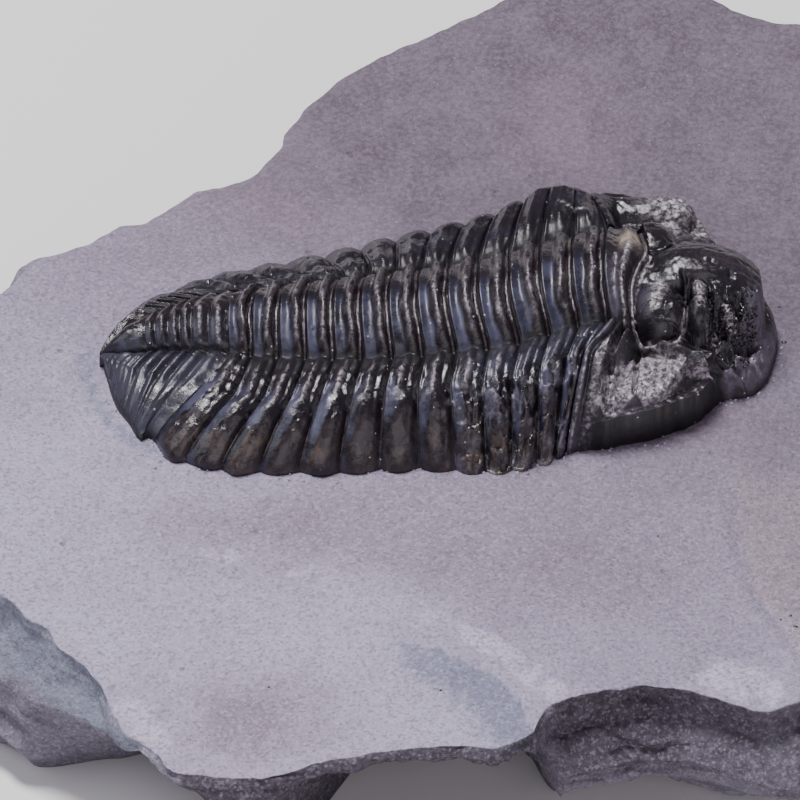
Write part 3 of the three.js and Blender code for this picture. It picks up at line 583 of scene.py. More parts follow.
def head_masks(x, y, v, inward, behind):
    flat = flat_points(x, y)
    ragged = ragged_edge(x, y)
    silver = np.clip(sum(step(-0.2, 0.1, inside(x, y, corners) + ragged) for corners in SILVER), 0, 1)
    depth = inside(x, y, LEDGE)
    ledge = 0.8 * step(-0.3, 0.1, depth) * (step(23.7, 24.4, x) + hump(depth, 0.05, 0.13))
    fraction = 1 - behind / occipital_length(v)
    on_ring = step(1.1, 1.0, np.abs(v)) * step(0, 0.05, fraction)
    crust = step(3.0, 1.5, crust_reach(x, y))
    return {
        "lilac": step(25.5, 26.5, x) * step(3, 2.2, inward) * step(4, 2, y)
        + 0.15 * step(-3, -6, y) * step(14, 16, x) + 0.12 * step(22, 24, x) * step(2, 4, y),
        # blue-grey on the near lobe, the ring's rear band and the folds: partly the shell's tone, partly a
        # painted sheen
        "blue": 0.8 * spot(x, y, 17.2, -7.5, 1.2, 2.5) + 0.8 * spot(x, y, 18.4, 0.5, 0.7, 1.4)
        + 0.7 * on_ring * step(0.55, 0.63, fraction) * step(0.1, -0.3, v)
        + 0.6 * step(-1.1, -1.5, v) * (1 - step(0.5, 1.0, behind)),
        "brown": 0.9 * step(22, 25, x) * step(2.5, 5, y) + 0.5 * step(-4, -8, y) * step(17, 20, x)
        + 0.5 * on_ring,
        # silvery wear on the broken ledges, the crust and the rim, with painted highlights on the ring's
        # crest and lip, the dome, the lobes and the folds
        "worn": 1.7 * silver + ledge + spots(x, y, HEAD_WEAR_AND_HIGHLIGHTS) + 1.1 * beside(x, y, RIM_LINE, 0.2)
        + on_ring * step(0.5, 0.0, v) * (hump(fraction, 0.46, 0.06) + 0.8 * hump(fraction, 0.1, 0.03))
        + 0.9 * crust * step(0.2, 0.6, rough(flat, 0.7, 35))
        + 0.55 * bar(x, y, (22, 3.6), (23.9, 0.9), 0.8) * step(-0.2, 0.5, rough(flat, 0.9, 37))
        + (0.5 * hump(behind, 0.3, 0.12) + 0.35 * hump(behind, 1.6, 0.4)) * step(-1.1, -1.4, v),
        "tan": 1.3 * spot(x, y, 16.9, 6.2, 0.95, 1.1) * on_ring,
        # painted shade along the very margin and in the hollow on the near side of the near side lobe
        "painted_shade": step(0.12, 0, inward) + 0.9 * spot(x, y, 18.9, -3.5, 2.6, 1.1),
    }


def crossing(rear, edge, seam, rear_is_out):
    """How far along each line from rear to edge the seam lies; 0 where the rear is already past it."""
    share = np.ones(len(rear))
    line = np.array(seam, float)
    run = edge - rear
    for a, b in zip(line, line[1:]):
        side = b - a
        cross = run[:, 0] * side[1] - run[:, 1] * side[0]
        cross = np.where(np.abs(cross) < 1e-9, 1e-9, cross)
        gap = a - rear
        t = (gap[:, 0] * side[1] - gap[:, 1] * side[0]) / cross
        u = (gap[:, 0] * run[:, 1] - gap[:, 1] * run[:, 0]) / cross
        share = np.where((t >= 0) & (t <= 1) & (u >= 0) & (u <= 1), np.minimum(share, t), share)
    return np.where(rear_is_out, 0, share)


HEAD_COLUMNS = 480
HEAD_SEED = 31


def head_lines():
    place = np.linspace(0, 1, HEAD_COLUMNS)
    edge = smooth_line(HEAD_MARGIN, HEAD_COLUMNS)
    jagged = np.concatenate([edge, np.zeros((HEAD_COLUMNS, 1))], axis=1)
    edge = edge + 0.14 * np.stack([rough(jagged, 1.3, 39), rough(jagged, 1.3, 43)], axis=-1)
    rear = shell_point(np.zeros(HEAD_COLUMNS), -3 + 6 * place, np.full(HEAD_COLUMNS, 0.2))
    rear_height = rear[:, 2].copy()
    rear = rear[:, :2] + np.array([0.05, 0])
    near_line = np.interp(rear[:, 0], [p[0] for p in NEAR_SUTURE[:-1]], [p[1] for p in NEAR_SUTURE[:-1]])
    far_line = np.interp(rear[:, 0], [p[0] for p in FAR_SUTURE], [p[1] for p in FAR_SUTURE])
    near = crossing(rear, edge, NEAR_SUTURE, rear[:, 1] < near_line)
    far = crossing(rear, edge, FAR_SUTURE, rear[:, 1] > far_line)
    return edge, rear, rear_height, near, far


def head_plate(name, columns, low, high, rows, lines):
    """A plate of the head, between the shares low and high of the way from its rear edge to its margin."""
    edge, rear, rear_height = lines
    share = low[None, columns] + (high - low)[None, columns] * np.linspace(0, 1, rows)[:, None]
    e, r = edge[None, columns], rear[None, columns]
    flat = r + (e - r) * share[..., None]
    x, y = flat[..., 0], flat[..., 1]
    v = (-3 + 6 * np.linspace(0, 1, HEAD_COLUMNS))[None, columns] + 0 * x
    inward = np.hypot(e[..., 0] - x, e[..., 1] - y)
    behind = np.hypot(x - r[..., 0], y - r[..., 1])
    height = head_height(x, y, v, inward, behind, rear_height[None, columns])
    points = np.stack([x, y, height], axis=-1)
    masks = head_masks(x, y, v, inward, behind)
    crust = step(3.2, 1.5, crust_reach(x, y))
    wrinkled = step(23, 26, x) * step(0, 3, y)
    seed = HEAD_SEED
    height = height + 0.1 * rough(points, 1.6, seed) + 0.04 * rough(points, 0.5, seed + 3, 2)
    height = height + 0.42 * rough(points, 0.9, seed + 5) * crust
    height = height + 0.12 * wrinkled * rough(points * [0.5, 2.4, 0.5], 1.2, seed + 9)
    crumpled = np.clip(masks["worn"], 0, 1) * (step(-4, -5, y) + step(12, 13, y))
    crumples = 0.2 * rough(points, 1.0, seed + 7) + 0.1 * rough(points, 0.4, seed + 8, 2)
    height = height + crumples * crumpled
    height = height + spots(x, y, CRUST_BLOBS) - spots(x, y, CRUST_HOLES)
    points[..., 2] = np.maximum(height, SHELL_FOOT)
    return plate_object(name, points, masks)


def head_plates():
    edge, rear, rear_height, near, far = head_lines()
    one = np.ones(HEAD_COLUMNS)
    number = np.arange(HEAD_COLUMNS)
    inner = np.minimum(near, far)
    lines = edge, rear, rear_height
    on_near = (near < 0.985) & (number < HEAD_COLUMNS // 2)
    on_far = (far < 0.985) & (number > HEAD_COLUMNS // 2)
    return (head_plate("head_middle", np.where(inner > 0.02)[0], 0 * one, inner, 190, lines),
            head_plate("near_cheek", np.where(on_near)[0], near, one, 80, lines),
            head_plate("far_cheek", np.where(on_far)[0], far, one, 70, lines))


# The rock

ROCK_EDGE = [(44, -41), (53, -37), (57, -27), (65, -20), (66, -4), (62, 8), (63.5, 20), (57, 33), (47, 38),
    (41, 48), (28, 51), (17, 55), (6, 52.1), (-1, 48.3), (-6, 44.9), (-9.9, 42.1), (-12.8, 39), (-16, 34),
    (-15.8, 31), (-17.5, 27.4), (-19.1, 25.6), (-23.9, 24.2), (-27, 20.6), (-32.3, 17.4), (-38.2, 12.4),
    (-42, 6.5), (-46, -3), (-47, -14), (-44, -25), (-37.6, -32.6), (-32.8, -36.8), (-28.6, -42),
    (-25.3, -47.7), (-21, -53.2), (-14.7, -54.2), (-10, -53.4), (-6.8, -52.4), (-1.6, -51.2), (3.7, -50.2),
    (8.2, -50.5), (10.4, -49), (11.4, -45.8), (14.4, -43.9), (19.3, -41.9), (24.9, -42.2), (29.6, -44.3),
    (34.5, -42.2)]
ROCK_MIDDLE = np.array([6.0, -2.0])
# Side profiles: (how far down, how far out past the top edge), from the top edge to the underside
PLAIN_SIDE = [(0, 0), (0.8, 0.7), (3.5, 1.2), (7, 0.4), (11, -0.8), (14, -2.6)]
UNDERCUT_SIDE = [(0, 0), (0.7, 0.5), (1.6, -0.2), (4, -4.6), (9, -10), (14, -15)]
STEPPED_SIDE = [(0, 0), (3.4, 0.9), (4.6, 3.4), (8.6, 4.6), (10, 6), (14, 3.2)]
CHIPPED_SIDE = [(0, 0), (3.4, 0.2), (4.3, 2.8), (5.4, 4.6), (7.2, 4), (14, -4)]
FAR_SIDE = [(0, 0), (1, 0.3), (3.5, 0.6), (7, -0.2), (11, -1.2), (14, -2.8)]
AROUND = 680
SIDE_ROWS = 76
TOP_RINGS = np.concatenate([np.linspace(0.02, 0.93, 44), 1 - 0.07 * np.linspace(1, 0, 14)[1:] ** 1.3])


def side_shares(x, y):
    near = 1 - step(-30, -22, y)
    stepped = near * (1 - step(-33, -23, x))
    toe = np.clip(1 - ((x + 14.5) / 4) ** 2, 0, 1)
    undercut = near * step(-33, -23, x) * (1 - step(9.5, 13, x)) * (1 - toe)
    chipped = near * step(9.5, 13, x) * (1 - step(31, 40, x))
    far = step(0, 12, y)
    plain = (1 - far) * (1 - stepped - undercut - chipped)
    return ((STEPPED_SIDE, stepped), (UNDERCUT_SIDE, undercut), (CHIPPED_SIDE, chipped),
            (FAR_SIDE, far), (PLAIN_SIDE, plain))


def crease_side(x, y):
    """Distance past the crease of the slab's right-hand facet."""
    return x - crease_line(y) - 0.35 * lattice(flat_points(x, y), 4, 195)


crease_line = curve((-38, 34.6), (-35.2, 33.4), (-32, 31.8), (-27, 29.6), (-22.5, 28.4), (-17, 27.8),
    (0, 26))
swell_line = curve((12, -7), (16.3, -9.6), (22, -14.1), (25.4, -17.9), (32, -16.1), (40, -14))


def rock_height(x, y):
    facet = -0.17 * np.maximum(crease_side(x, y), 0) * step(-10, 14, -y)
    away = step(17, 40, np.hypot(x, (y + 2) * 1.15))
    swell = 0.7 * np.sin(x * 0.11 + 1) + 0.6 * np.sin(y * 0.13 + x * 0.05)
    lower = -0.75 * step(1.8, -1.2, x - swell_line(y)) * step(10, 17, y)
    return facet + away * swell + lower - 0.25


def even_outline(points, count):
    closed = np.array(points + points[:1], float)
    run = run_along(closed)
    line = evenly(closed, run, np.linspace(0, run[-1], count, endpoint=False))
    for _ in range(3):
        line = 0.5 * line + 0.25 * (np.roll(line, 1, axis=0) + np.roll(line, -1, axis=0))
    return line


TAIL_RIM_LINE = [(-32.7, 0.1), (-31.9, -2.9), (-31.0, -6.2), (-29.1, -9.6), (-26.8, -11.6), (-24.4, -12.9)]
# Small black specks of shell lying on the rock: x, y, half width
SPECKS = [(31.3, 5.0, 0.26), (30.7, 10.2, 0.17), (32.7, -30.4, 0.2), (33.2, -32.0, 0.24),
    (31.9, -30.9, 0.13), (20.6, -21.4, 0.12), (-13.0, -43.2, 0.13), (2.2, -43.6, 0.14)]
SCAR_LINE = [(-6, -35.5), (-1.7, -37.2), (3, -39), (6.6, -41.5), (9.6, -45), (10.8, -49.5)]
CHALK_LINE = [(-1.5, -33.6), (2.6, -35.2), (6.8, -38.6), (9.5, -41.2), (12.1, -43.8)]


def past_line(x, y, line):
    """Distance from a line of several points, in mm, above 0 on its left side."""
    best = np.full(np.shape(x), 1e3)
    for (ax, ay), (bx, by) in zip(line, line[1:]):
        away = from_stretch(x, y, (ax, ay), (bx, by))
        turn = (bx - ax) * (y - ay) - (by - ay) * (x - ax)
        best = np.where(away < np.abs(best), np.copysign(away, turn), best)
    return best


def rock_relief(x, y):
    """Low relief of the split top face: flat lumps, thin flakes that end in steps, and a moat by the tail."""
    flat = flat_points(x, y)
    lumps = 0.26 * rough(flat, 12, 201, 3) + 0.05 * rough(flat, 1.4, 203, 2)
    flakes = 0.16 * step(-0.03, 0.03, lattice(flat, 17, 211) + 0.3 * rough(flat, 4, 213, 3))
    moat = -0.6 * spot(x, y, -31.9, -2.2, 1.0, 2.25)
    wave = 0.7 * lattice(flat, 4, 215)
    scar = -0.5 * step(0.4, -0.5, past_line(x, y, SCAR_LINE) + wave) * step(-52, -49, y) * step(-14, -4, x)
    chalk = 0.25 * beside(x, y, CHALK_LINE, 1.3)
    broken = 0.6 * rough(flat, 1.8, 217, 2) * spot(x, y, 29, -40.5, 4.5, 3.2)
    crease = -0.5 * hump(crease_side(x, y), 0, 0.5) * step(-12, -18, y)
    return lumps + flakes + moat + scar + chalk + broken + crease


def rock_top(x, y):
    return rock_height(x, y) + rock_relief(x, y)


LAYER_JUMP = 31.7  # how far apart in the noise two neighbouring layers are taken


def strata(points, thickness, seed):
    """Broken bedding: each thin layer stands out by its own amount, with a sharp step to the next."""
    level = points[..., 2] / thickness + 0.9 * lattice(points * [1, 1, 0], 11, seed)
    low = np.floor(level)
    blend = step(0.72, 0.98, level - low)
    layer = np.stack([points[..., 0], points[..., 1], low * LAYER_JUMP], axis=-1)
    above = layer + [0, 0, LAYER_JUMP]

    def stand(size, number):
        return lattice(layer, size, number) * (1 - blend) + lattice(above, size, number) * blend

    return stand(6.5, seed + 3) + 0.4 * stand(2.1, seed + 5)


def outward(edge):
    return (edge - ROCK_MIDDLE) / np.hypot(*(edge - ROCK_MIDDLE).T)[:, None]


def rock_sides(edge):
    """Rows of points from the top edge down the broken sides to the underside."""
    levels = np.linspace(0, 5, SIDE_ROWS)
    direction = outward(edge)
    down, out = 0, 0
    for profile, share in side_shares(edge[:, 0], edge[:, 1]):
        table = np.array(profile, float)
        down = down + np.interp(levels, range(6), table[:, 0])[:, None] * share
        out = out + np.interp(levels, range(6), table[:, 1])[:, None] * share
    top = rock_top(edge[:, 0], edge[:, 1])
    height = top - down * (ROCK_THICKNESS + top) / ROCK_THICKNESS
    height[-1] = -ROCK_THICKNESS
    flat = edge[None] + direction[None] * out[..., None]
    points = np.concatenate([flat, height[..., None]], axis=-1)
    free = np.minimum(levels / 0.4, 1)[:, None] * np.minimum((5 - levels) / 0.3, 1)[:, None]
    free = free * (1 - 0.75 * step(5, 20, edge[:, 1]))
    flaked = (0.5 * rough(points, 6, 221, 2) + 0.75 * strata(points, 2.3, 223)
              + 0.3 * strata(points, 0.8, 227) + 0.16 * rough(points, 1.3, 229, 2))
    points[..., :2] += direction[None] * (free * flaked)[..., None]
    return points


def rock_points():
    edge = even_outline(ROCK_EDGE, AROUND)
    rim = np.concatenate([edge, np.zeros((AROUND, 1))], axis=1)
    edge = edge + outward(edge) * (0.45 * rough(rim, 3.2, 231, 3))[:, None]
    flat = ROCK_MIDDLE + (edge - ROCK_MIDDLE)[None] * TOP_RINGS[:, None, None]
    x, y = flat[..., 0], flat[..., 1]
    top = np.concatenate([flat, rock_top(x, y)[..., None]], axis=-1)
    sides = rock_sides(edge)
    sides[0] = top[-1]
    under = [np.concatenate([ROCK_MIDDLE + (sides[-1][:, :2] - ROCK_MIDDLE) * part,
                             np.full((AROUND, 1), -ROCK_THICKNESS)], axis=1) for part in (0.97, 0.6, 0.25)]
    return top, sides[1:], np.array(under)


# Clouds of colour in the rock: x, y, half widths, strength
PALE_PATCHES = [(-22, -36, 16, 8, 1.0), (-2, -30, 12, 3, 0.6), (-34, 2, 8, 6, 0.5)]
MAUVE_PATCHES = [(-18, 20.5, 10, 6, 1.0), (25, -6, 9, 4.5, 0.9), (-13, -23, 14, 6, 0.9),
    (11, -26, 11, 8, 0.9), (-15, -47, 9, 7, 1.1), (10, 33, 5, 8, 0.8)]


def rock_masks(points, rows_of_top):
    x, y, z = points[..., 0], points[..., 1], points[..., 2]
    rows = np.arange(len(points))[:, None] + 0 * x
    on_side = step(rows_of_top - 1.5, rows_of_top + 0.5, rows)
    flat = flat_points(x, y)
    spread = rough(flat, 7, 241, 3)
    band = on_side * step(-21, -24.5, x) * step(-24, -29, y) * step(-5.8, -4.4, z + 0.35 * spread)
    scar = past_line(x, y, SCAR_LINE)
    toe = step(0.5, -0.7, scar + 0.7 * spread) * hump(scar, 0, 5.2) * step(-8, 4, x) * step(-54, -48, y)
    chip = on_side * step(10.5, 14, x) * step(33, 28, x) * step(-34, -38, y)
    under = on_side * step(-22, -19, x) * step(12.5, 10, x) * step(-34, -40, y)
    corner = spot(x, y, 28.5, -40.5, 4.6, 3.0)
    patchy = 0.4 + 0.45 * step(-36, -39, y) + 0.7 * rough(flat, 1.4, 243, 2)
    streak = beside(x, y, CHALK_LINE, 1.9) * patchy
    strokes = 0.5 * step(0.25, 0.6, rough(flat, 2.2, 247, 2)) * spot(x, y, -17, -27.5, 9, 3)
    return {
        "side": on_side * (1 - 0.7 * step(5, 15, y)),
        "blue": np.clip(band + 1.0 * toe + 0.25 * under + 0.8 * beside(x, y, TAIL_RIM_LINE, 1.0), 0, 1),
        "chalk": np.clip(streak + strokes + 0.75 * bar(x, y, (-25.2, -45.5), (-22.4, -49.5), 2.2)
                         + corner * (0.75 + rough(flat, 1.5, 245, 2))
                         + 0.34 * spots(x, y, PALE_PATCHES), 0, 1),
        "mauve": np.clip(spots(x, y, MAUVE_PATCHES), 0, 1),
        # far: painted light falloff, the top paler towards the near left and darker towards the far side and
        # the right
        "far": np.clip(0.67 + 0.0118 * np.minimum(x, 8) + 0.0142 * y + 0.08 * spread, 0, 1),
        # dark: painted shade in the chipped hollow, under the undercut and down the near right corner's side
        "dark": np.clip(chip * step(-9.5, -1.5, z) * (0.8 + 0.35 * spread) + 0.85 * under
                        + on_side * step(28, 34, x) * step(-20, -34, y) * 0.55, 0, 1),
        "beige": step(-0.4, 0.6, crease_side(x, y)) * step(-8, -16, y),
    }


def rock_object():
    top, sides, under = rock_points()
    rows = np.concatenate([top, sides, under])
    count = len(rows)
    masks = rock_masks(rows, len(top))
    middle_top = np.append(ROCK_MIDDLE, rock_top(*ROCK_MIDDLE))
    middle_under = np.append(ROCK_MIDDLE, -ROCK_THICKNESS)
    points = np.concatenate([rows.reshape(-1, 3), [middle_top, middle_under]])
    boxed = np.clip(into_frame(points), np.array(SLAB_LOW) + 2e-5, SLAB_HIGH) / MM - SLAB_SHIFT
    points[:, :2] = boxed[:, :2]
    index = np.arange(count * AROUND).reshape(count, AROUND)
    after = np.roll(index, -1, axis=1)
    faces = np.stack([index[:-1], index[1:], after[1:], after[:-1]], axis=-1).reshape(-1, 4).tolist()
    hub = count * AROUND
    faces += [[hub, int(a), int(b)] for a, b in zip(index[0], after[0])]
    faces += [[hub + 1, int(b), int(a)] for a, b in zip(index[-1], after[-1])]
    spread = {key: np.concatenate([value.ravel(), value[0, :1], value[-1, :1]])
              for key, value in masks.items()}
    return new_object("shale_slab", points, faces, spread)


# Node tools


class Nodes:
    """Adds and joins nodes in one tree."""

    def __init__(self, tree):
        self.tree = tree

    def add(self, kind, values=None, **settings):
        node = self.tree.nodes.new(kind)
        for key, value in settings.items():
            setattr(node, key, value)
        for key, value in (values or {}).items():
            self.put(node.inputs[key], value)
        return node

    def put(self, socket, value):
        if isinstance(value, bpy.types.NodeSocket):
            self.tree.links.new(value, socket)
        elif isinstance(value, bpy.types.Node):
            self.tree.links.new(value.outputs[0], socket)
        else:
            socket.default_value = value

    def math(self, operation, a, b=0.0, clamp=False):
        return self.add("ShaderNodeMath", {0: a, 1: b}, operation=operation, use_clamp=clamp).outputs[0]

    def times(self, a, b, clamp=False):
        return self.math("MULTIPLY", a, b, clamp)

    def plus(self, a, b, clamp=False):
        return self.math("ADD", a, b, clamp)

    def total(self, first, *others, clamp=False):
        for other in others:
            first = self.plus(first, other, clamp)
        return first

    def painted(self, colour, layers):
        """A colour with others laid over it, each given as its share and itself."""
        for share, paint in layers:
            colour = self.mix(share, colour, paint)
        return colour

    def mix(self, share, a, b):
        node = self.add("ShaderNodeMix", data_type="RGBA")
        colours = [socket for socket in node.inputs if socket.type == "RGBA"]
        self.put(node.inputs["Factor"], share)
        for socket, value in zip(colours, (a, b)):
            linked = isinstance(value, (bpy.types.NodeSocket, bpy.types.Node))
            self.put(socket, value if linked else (*value, 1.0))
        return [socket for socket in node.outputs if socket.type == "RGBA"][0]

    def ramp(self, value, low, high, out_low=0.0, out_high=1.0):
        return self.add("ShaderNodeMapRange", {"Value": value, "From Min": low, "From Max": high,
                                               "To Min": out_low, "To Max": out_high},
                        interpolation_type="SMOOTHSTEP").outputs[0]

    def mask(self, name):
        return self.add("ShaderNodeAttribute", attribute_name=name).outputs["Fac"]

    def group(self, tree, values):
        return self.add("ShaderNodeGroup", values, node_tree=tree)

    def blotchy(self, size, edge, roughness=0.6, amount=0.5):
        """Irregular blotches over a share of the surface, by their size in mm and the width of their edge."""
        values = {"Size mm": size, "Edge": edge, "Amount": amount, "Roughness": roughness}
        return self.group(blotches, values).outputs["Mask"]


def new_group(name, kind, inputs, outputs):
    """A node group with named sockets: (name, socket type, default)."""
    tree = bpy.data.node_groups.new(name, kind)
    for label, socket, default in inputs:
        made = tree.interface.new_socket(label, in_out="INPUT", socket_type=socket)
        if default is not None:
            made.default_value = default
    for label, socket in outputs:
        tree.interface.new_socket(label, in_out="OUTPUT", socket_type=socket)
    nodes = Nodes(tree)
    return nodes, nodes.add("NodeGroupInput").outputs, nodes.add("NodeGroupOutput").inputs


def blotch_group():
    """Soft irregular blotches as a mask, on the object's own coordinates."""
    nodes, given, result = new_group("Blotches", "ShaderNodeTree",
        [("Size mm", "NodeSocketFloat", 4.0), ("Edge", "NodeSocketFloat", 0.1),
        ("Amount", "NodeSocketFloat", 0.5), ("Roughness", "NodeSocketFloat", 0.6)],
        [("Mask", "NodeSocketFloat")])
    where = nodes.add("ShaderNodeTexCoord").outputs["Object"]
    scale = nodes.math("DIVIDE", 1000.0, given["Size mm"])
    noise = nodes.add("ShaderNodeTexNoise", {"Vector": where, "Scale": scale, "Detail": 6.0,
                                             "Roughness": given["Roughness"]})
    threshold = nodes.math("SUBTRACT", 1.0, given["Amount"])
    low = nodes.math("SUBTRACT", threshold, given["Edge"])
    high = nodes.plus(threshold, given["Edge"])
    nodes.put(result["Mask"], nodes.ramp(noise.outputs["Fac"], low, high))
    return nodes.tree


def grain_group():
    """Fine mineral grain as a height and a speckle mask."""
    nodes, given, result = new_group("Mineral grain", "ShaderNodeTree",
        [("Size mm", "NodeSocketFloat", 0.3), ("Speckle", "NodeSocketFloat", 0.1)],
        [("Height", "NodeSocketFloat"), ("Specks", "NodeSocketFloat"), ("Tint", "NodeSocketFloat")])
    where = nodes.add("ShaderNodeTexCoord").outputs["Object"]
    scale = nodes.math("DIVIDE", 1000.0, given["Size mm"])
    noise = nodes.add("ShaderNodeTexNoise",
                      {"Vector": where, "Scale": scale, "Detail": 4.0, "Roughness": 0.65})
    cells = nodes.add("ShaderNodeTexVoronoi", {"Vector": where, "Scale": nodes.times(scale, 0.9)})
    pick = nodes.add("ShaderNodeSeparateColor", {0: cells.outputs["Color"]}).outputs[0]
    chosen = nodes.math("LESS_THAN", pick, given["Speckle"])
    dot = nodes.ramp(cells.outputs["Distance"], 0.42, 0.2)
    nodes.put(result["Tint"], pick)
    nodes.put(result["Height"], noise.outputs["Fac"])
    nodes.put(result["Specks"], nodes.times(chosen, dot))
    return nodes.tree


def new_material(name):
    made = bpy.data.materials.new(name)
    made.use_nodes = True
    return made, Nodes(made.node_tree), made.node_tree.nodes["Principled BSDF"].inputs


LILAC = (0.115, 0.098, 0.135)
TAN = (0.33, 0.25, 0.185)
# Near-black for the painted shade in grooves, furrows, hollows and along margins
SHADE_COLOUR = (0.006, 0.005, 0.006)
DUST = (0.6, 0.56, 0.6)


def shell_material(name, dark, brown, blue, worn, roughness):
    """Glossy black mineralised shell: blue-grey bands partly a painted sheen, brown flanks, silvery wear,
    painted highlights and painted shade.
    """
    made, nodes, surface = new_material(name)
    large = nodes.blotchy(2.6, 0.14)
    small = nodes.blotchy(0.7, 0.12, 0.75)
    pitted = nodes.blotchy(0.55, 0.09, 0.7, amount=0.54)
    lumps = nodes.blotchy(1.4, 0.3, 0.5)
    crumple = nodes.blotchy(0.45, 0.3, 0.7)
    fine = nodes.group(grain, {"Size mm": 0.22, "Speckle": 0.006})

    def share(name, pattern, least):
        return nodes.times(nodes.mask(name), nodes.ramp(pattern, 0, 1, least, 1.0), clamp=True)

    # Blue-grey bands: partly the shell's tone, partly a painted sheen
    blue_and_sheen_share = share("blue", large, 0.45)
    # Silvery wear together with painted highlights along crests and rims; the same share makes them metallic
    worn_share = nodes.times(share("worn", pitted, 0.12), nodes.ramp(crumple, 0.25, 0.75, 0.1, 1.0))
    colour = nodes.painted(dark, [
        (nodes.times(large, 0.6), tuple(c * 1.9 for c in dark)),
        (share("brown", small, 0.1), brown),
        (blue_and_sheen_share, blue),
        (share("lilac", small, 0.5), LILAC),
        (worn_share, worn),
        (share("tan", small, 0.35), TAN),
        # painted shade: near-black laid into grooves, furrows, hollows and along margins
        (nodes.times(nodes.mask("painted_shade"), 0.7, clamp=True), SHADE_COLOUR),
        (nodes.times(fine.outputs["Specks"], 0.9), DUST)])
    nodes.put(surface["Base Color"], colour)
    nodes.put(surface["Metallic"], nodes.times(worn_share, 0.75))
    nodes.put(surface["Roughness"], nodes.total(
        nodes.ramp(small, 0, 1, roughness - 0.05, roughness + 0.08), nodes.times(worn_share, 0.1),
        nodes.times(nodes.mask("painted_shade"), 0.35), nodes.times(blue_and_sheen_share, 0.22), clamp=True))
    foil = nodes.times(nodes.times(nodes.mask("worn"), 0.8), crumple)
    rise = nodes.total(nodes.times(fine.outputs["Height"], 0.1), nodes.times(small, 0.06),
                       nodes.times(lumps, 0.3), foil)
    bump = nodes.add("ShaderNodeBump", {"Strength": 0.75, "Distance": 0.00018, "Height": rise})
    nodes.put(surface["Normal"], bump)
    surface["Specular IOR Level"].default_value = 0.65
    return made


def rock_material():
    """Fine lilac-grey shale: mottled, grainy, chalky and blue where it is freshly chipped, with painted shade
    on its sides and far part.
    """
    made, nodes, surface = new_material("Lilac shale")
    broad = nodes.blotchy(20.0, 0.16)
    cloud = nodes.blotchy(5.0, 0.2, 0.7)
    ragged = nodes.blotchy(1.6, 0.25, 0.8)
    dust = nodes.blotchy(0.5, 0.16, 0.8)
    fine = nodes.group(grain, {"Size mm": 0.32, "Speckle": 0.03})
    coarse = nodes.group(grain, {"Size mm": 0.7, "Speckle": 0.004})
    grit = nodes.group(grain, {"Size mm": 0.22, "Speckle": 0.0})
    centred = nodes.times(nodes.math("SUBTRACT", ragged, 0.5), 0.5)

    def patch(name, sharp=0.12):
        return nodes.ramp(nodes.plus(nodes.mask(name), centred), 0.5 - sharp, 0.5 + sharp)

    def strewn(name, most):
        return nodes.times(nodes.mask(name), nodes.ramp(cloud, 0, 1, most * 0.5, most), clamp=True)

    far = nodes.mask("far")
    side = nodes.mask("side")
    bluish = nodes.mix(side, (0.165, 0.190, 0.275), (0.26, 0.295, 0.38))
    colour = nodes.painted((0.43, 0.40, 0.54), [
        # painted shade: the top darkens towards the far side and the right, by the far mask
        (nodes.ramp(far, 0, 0.4), (0.270, 0.236, 0.325)),
        (nodes.ramp(far, 0.35, 1.0), (0.086, 0.064, 0.084)),
        (nodes.times(broad, 0.22), (0.185, 0.155, 0.190)),
        (nodes.times(cloud, 0.12), (0.42, 0.37, 0.46)),
        (strewn("mauve", 0.75), (0.200, 0.148, 0.190)),
        (strewn("beige", 0.7), (0.285, 0.228, 0.235)),
        # painted shade: the broken sides darker than the top
        (nodes.times(side, 0.72), (0.150, 0.140, 0.170)),
        (nodes.times(patch("blue", 0.2), 0.85), bluish),
        (nodes.times(patch("chalk", 0.26), nodes.ramp(dust, 0, 1, 0.25, 0.9)), (0.58, 0.54, 0.68)),
        # painted shade from the dark mask
        (nodes.times(patch("dark", 0.3), 0.88), (0.048, 0.037, 0.052))])
    tint = grit.outputs["Tint"]
    # Pale grains, fewer where the painted shade darkens the far side
    pale = nodes.times(nodes.ramp(tint, 0.65, 1.0, 0.0, 0.24), nodes.ramp(far, 0.2, 1.0, 1.0, 0.2))
    colour = nodes.painted(colour, [
        (nodes.ramp(fine.outputs["Height"], 0.6, 0.38, 0.0, 0.26), (0.110, 0.086, 0.118)),
        (nodes.ramp(tint, 0.35, 0.0, 0.0, 0.42), (0.10, 0.08, 0.11)),
        (pale, (0.60, 0.55, 0.66)),
        (nodes.ramp(dust, 0.1, 1, 0.0, 0.14), (0.50, 0.45, 0.56)),
        (nodes.times(fine.outputs["Specks"], 0.18), (0.60, 0.57, 0.64)),
        (nodes.times(coarse.outputs["Specks"], 0.5), (0.10, 0.08, 0.09))])
    nodes.put(surface["Base Color"], colour)
    nodes.put(surface["Roughness"], nodes.ramp(cloud, 0, 1, 0.78, 0.92))
    rise = nodes.total(nodes.times(fine.outputs["Height"], 0.6), nodes.times(coarse.outputs["Height"], 0.7),
                       nodes.times(ragged, nodes.ramp(side, 0, 1, 0.35, 2.4)),
                       nodes.times(coarse.outputs["Specks"], -0.8))
    bump = nodes.add("ShaderNodeBump", {"Strength": 0.75, "Distance": 0.00026, "Height": rise})
    nodes.put(surface["Normal"], bump)
    surface["Specular IOR Level"].default_value = 0.3
    return made


# Geometry Nodes


def finished(nodes, result, geometry, material):
    real = nodes.add("GeometryNodeRealizeInstances", {0: geometry})
    nodes.put(result[0], nodes.add("GeometryNodeSetMaterial", {"Geometry": real, "Material": material}))
    return nodes.tree


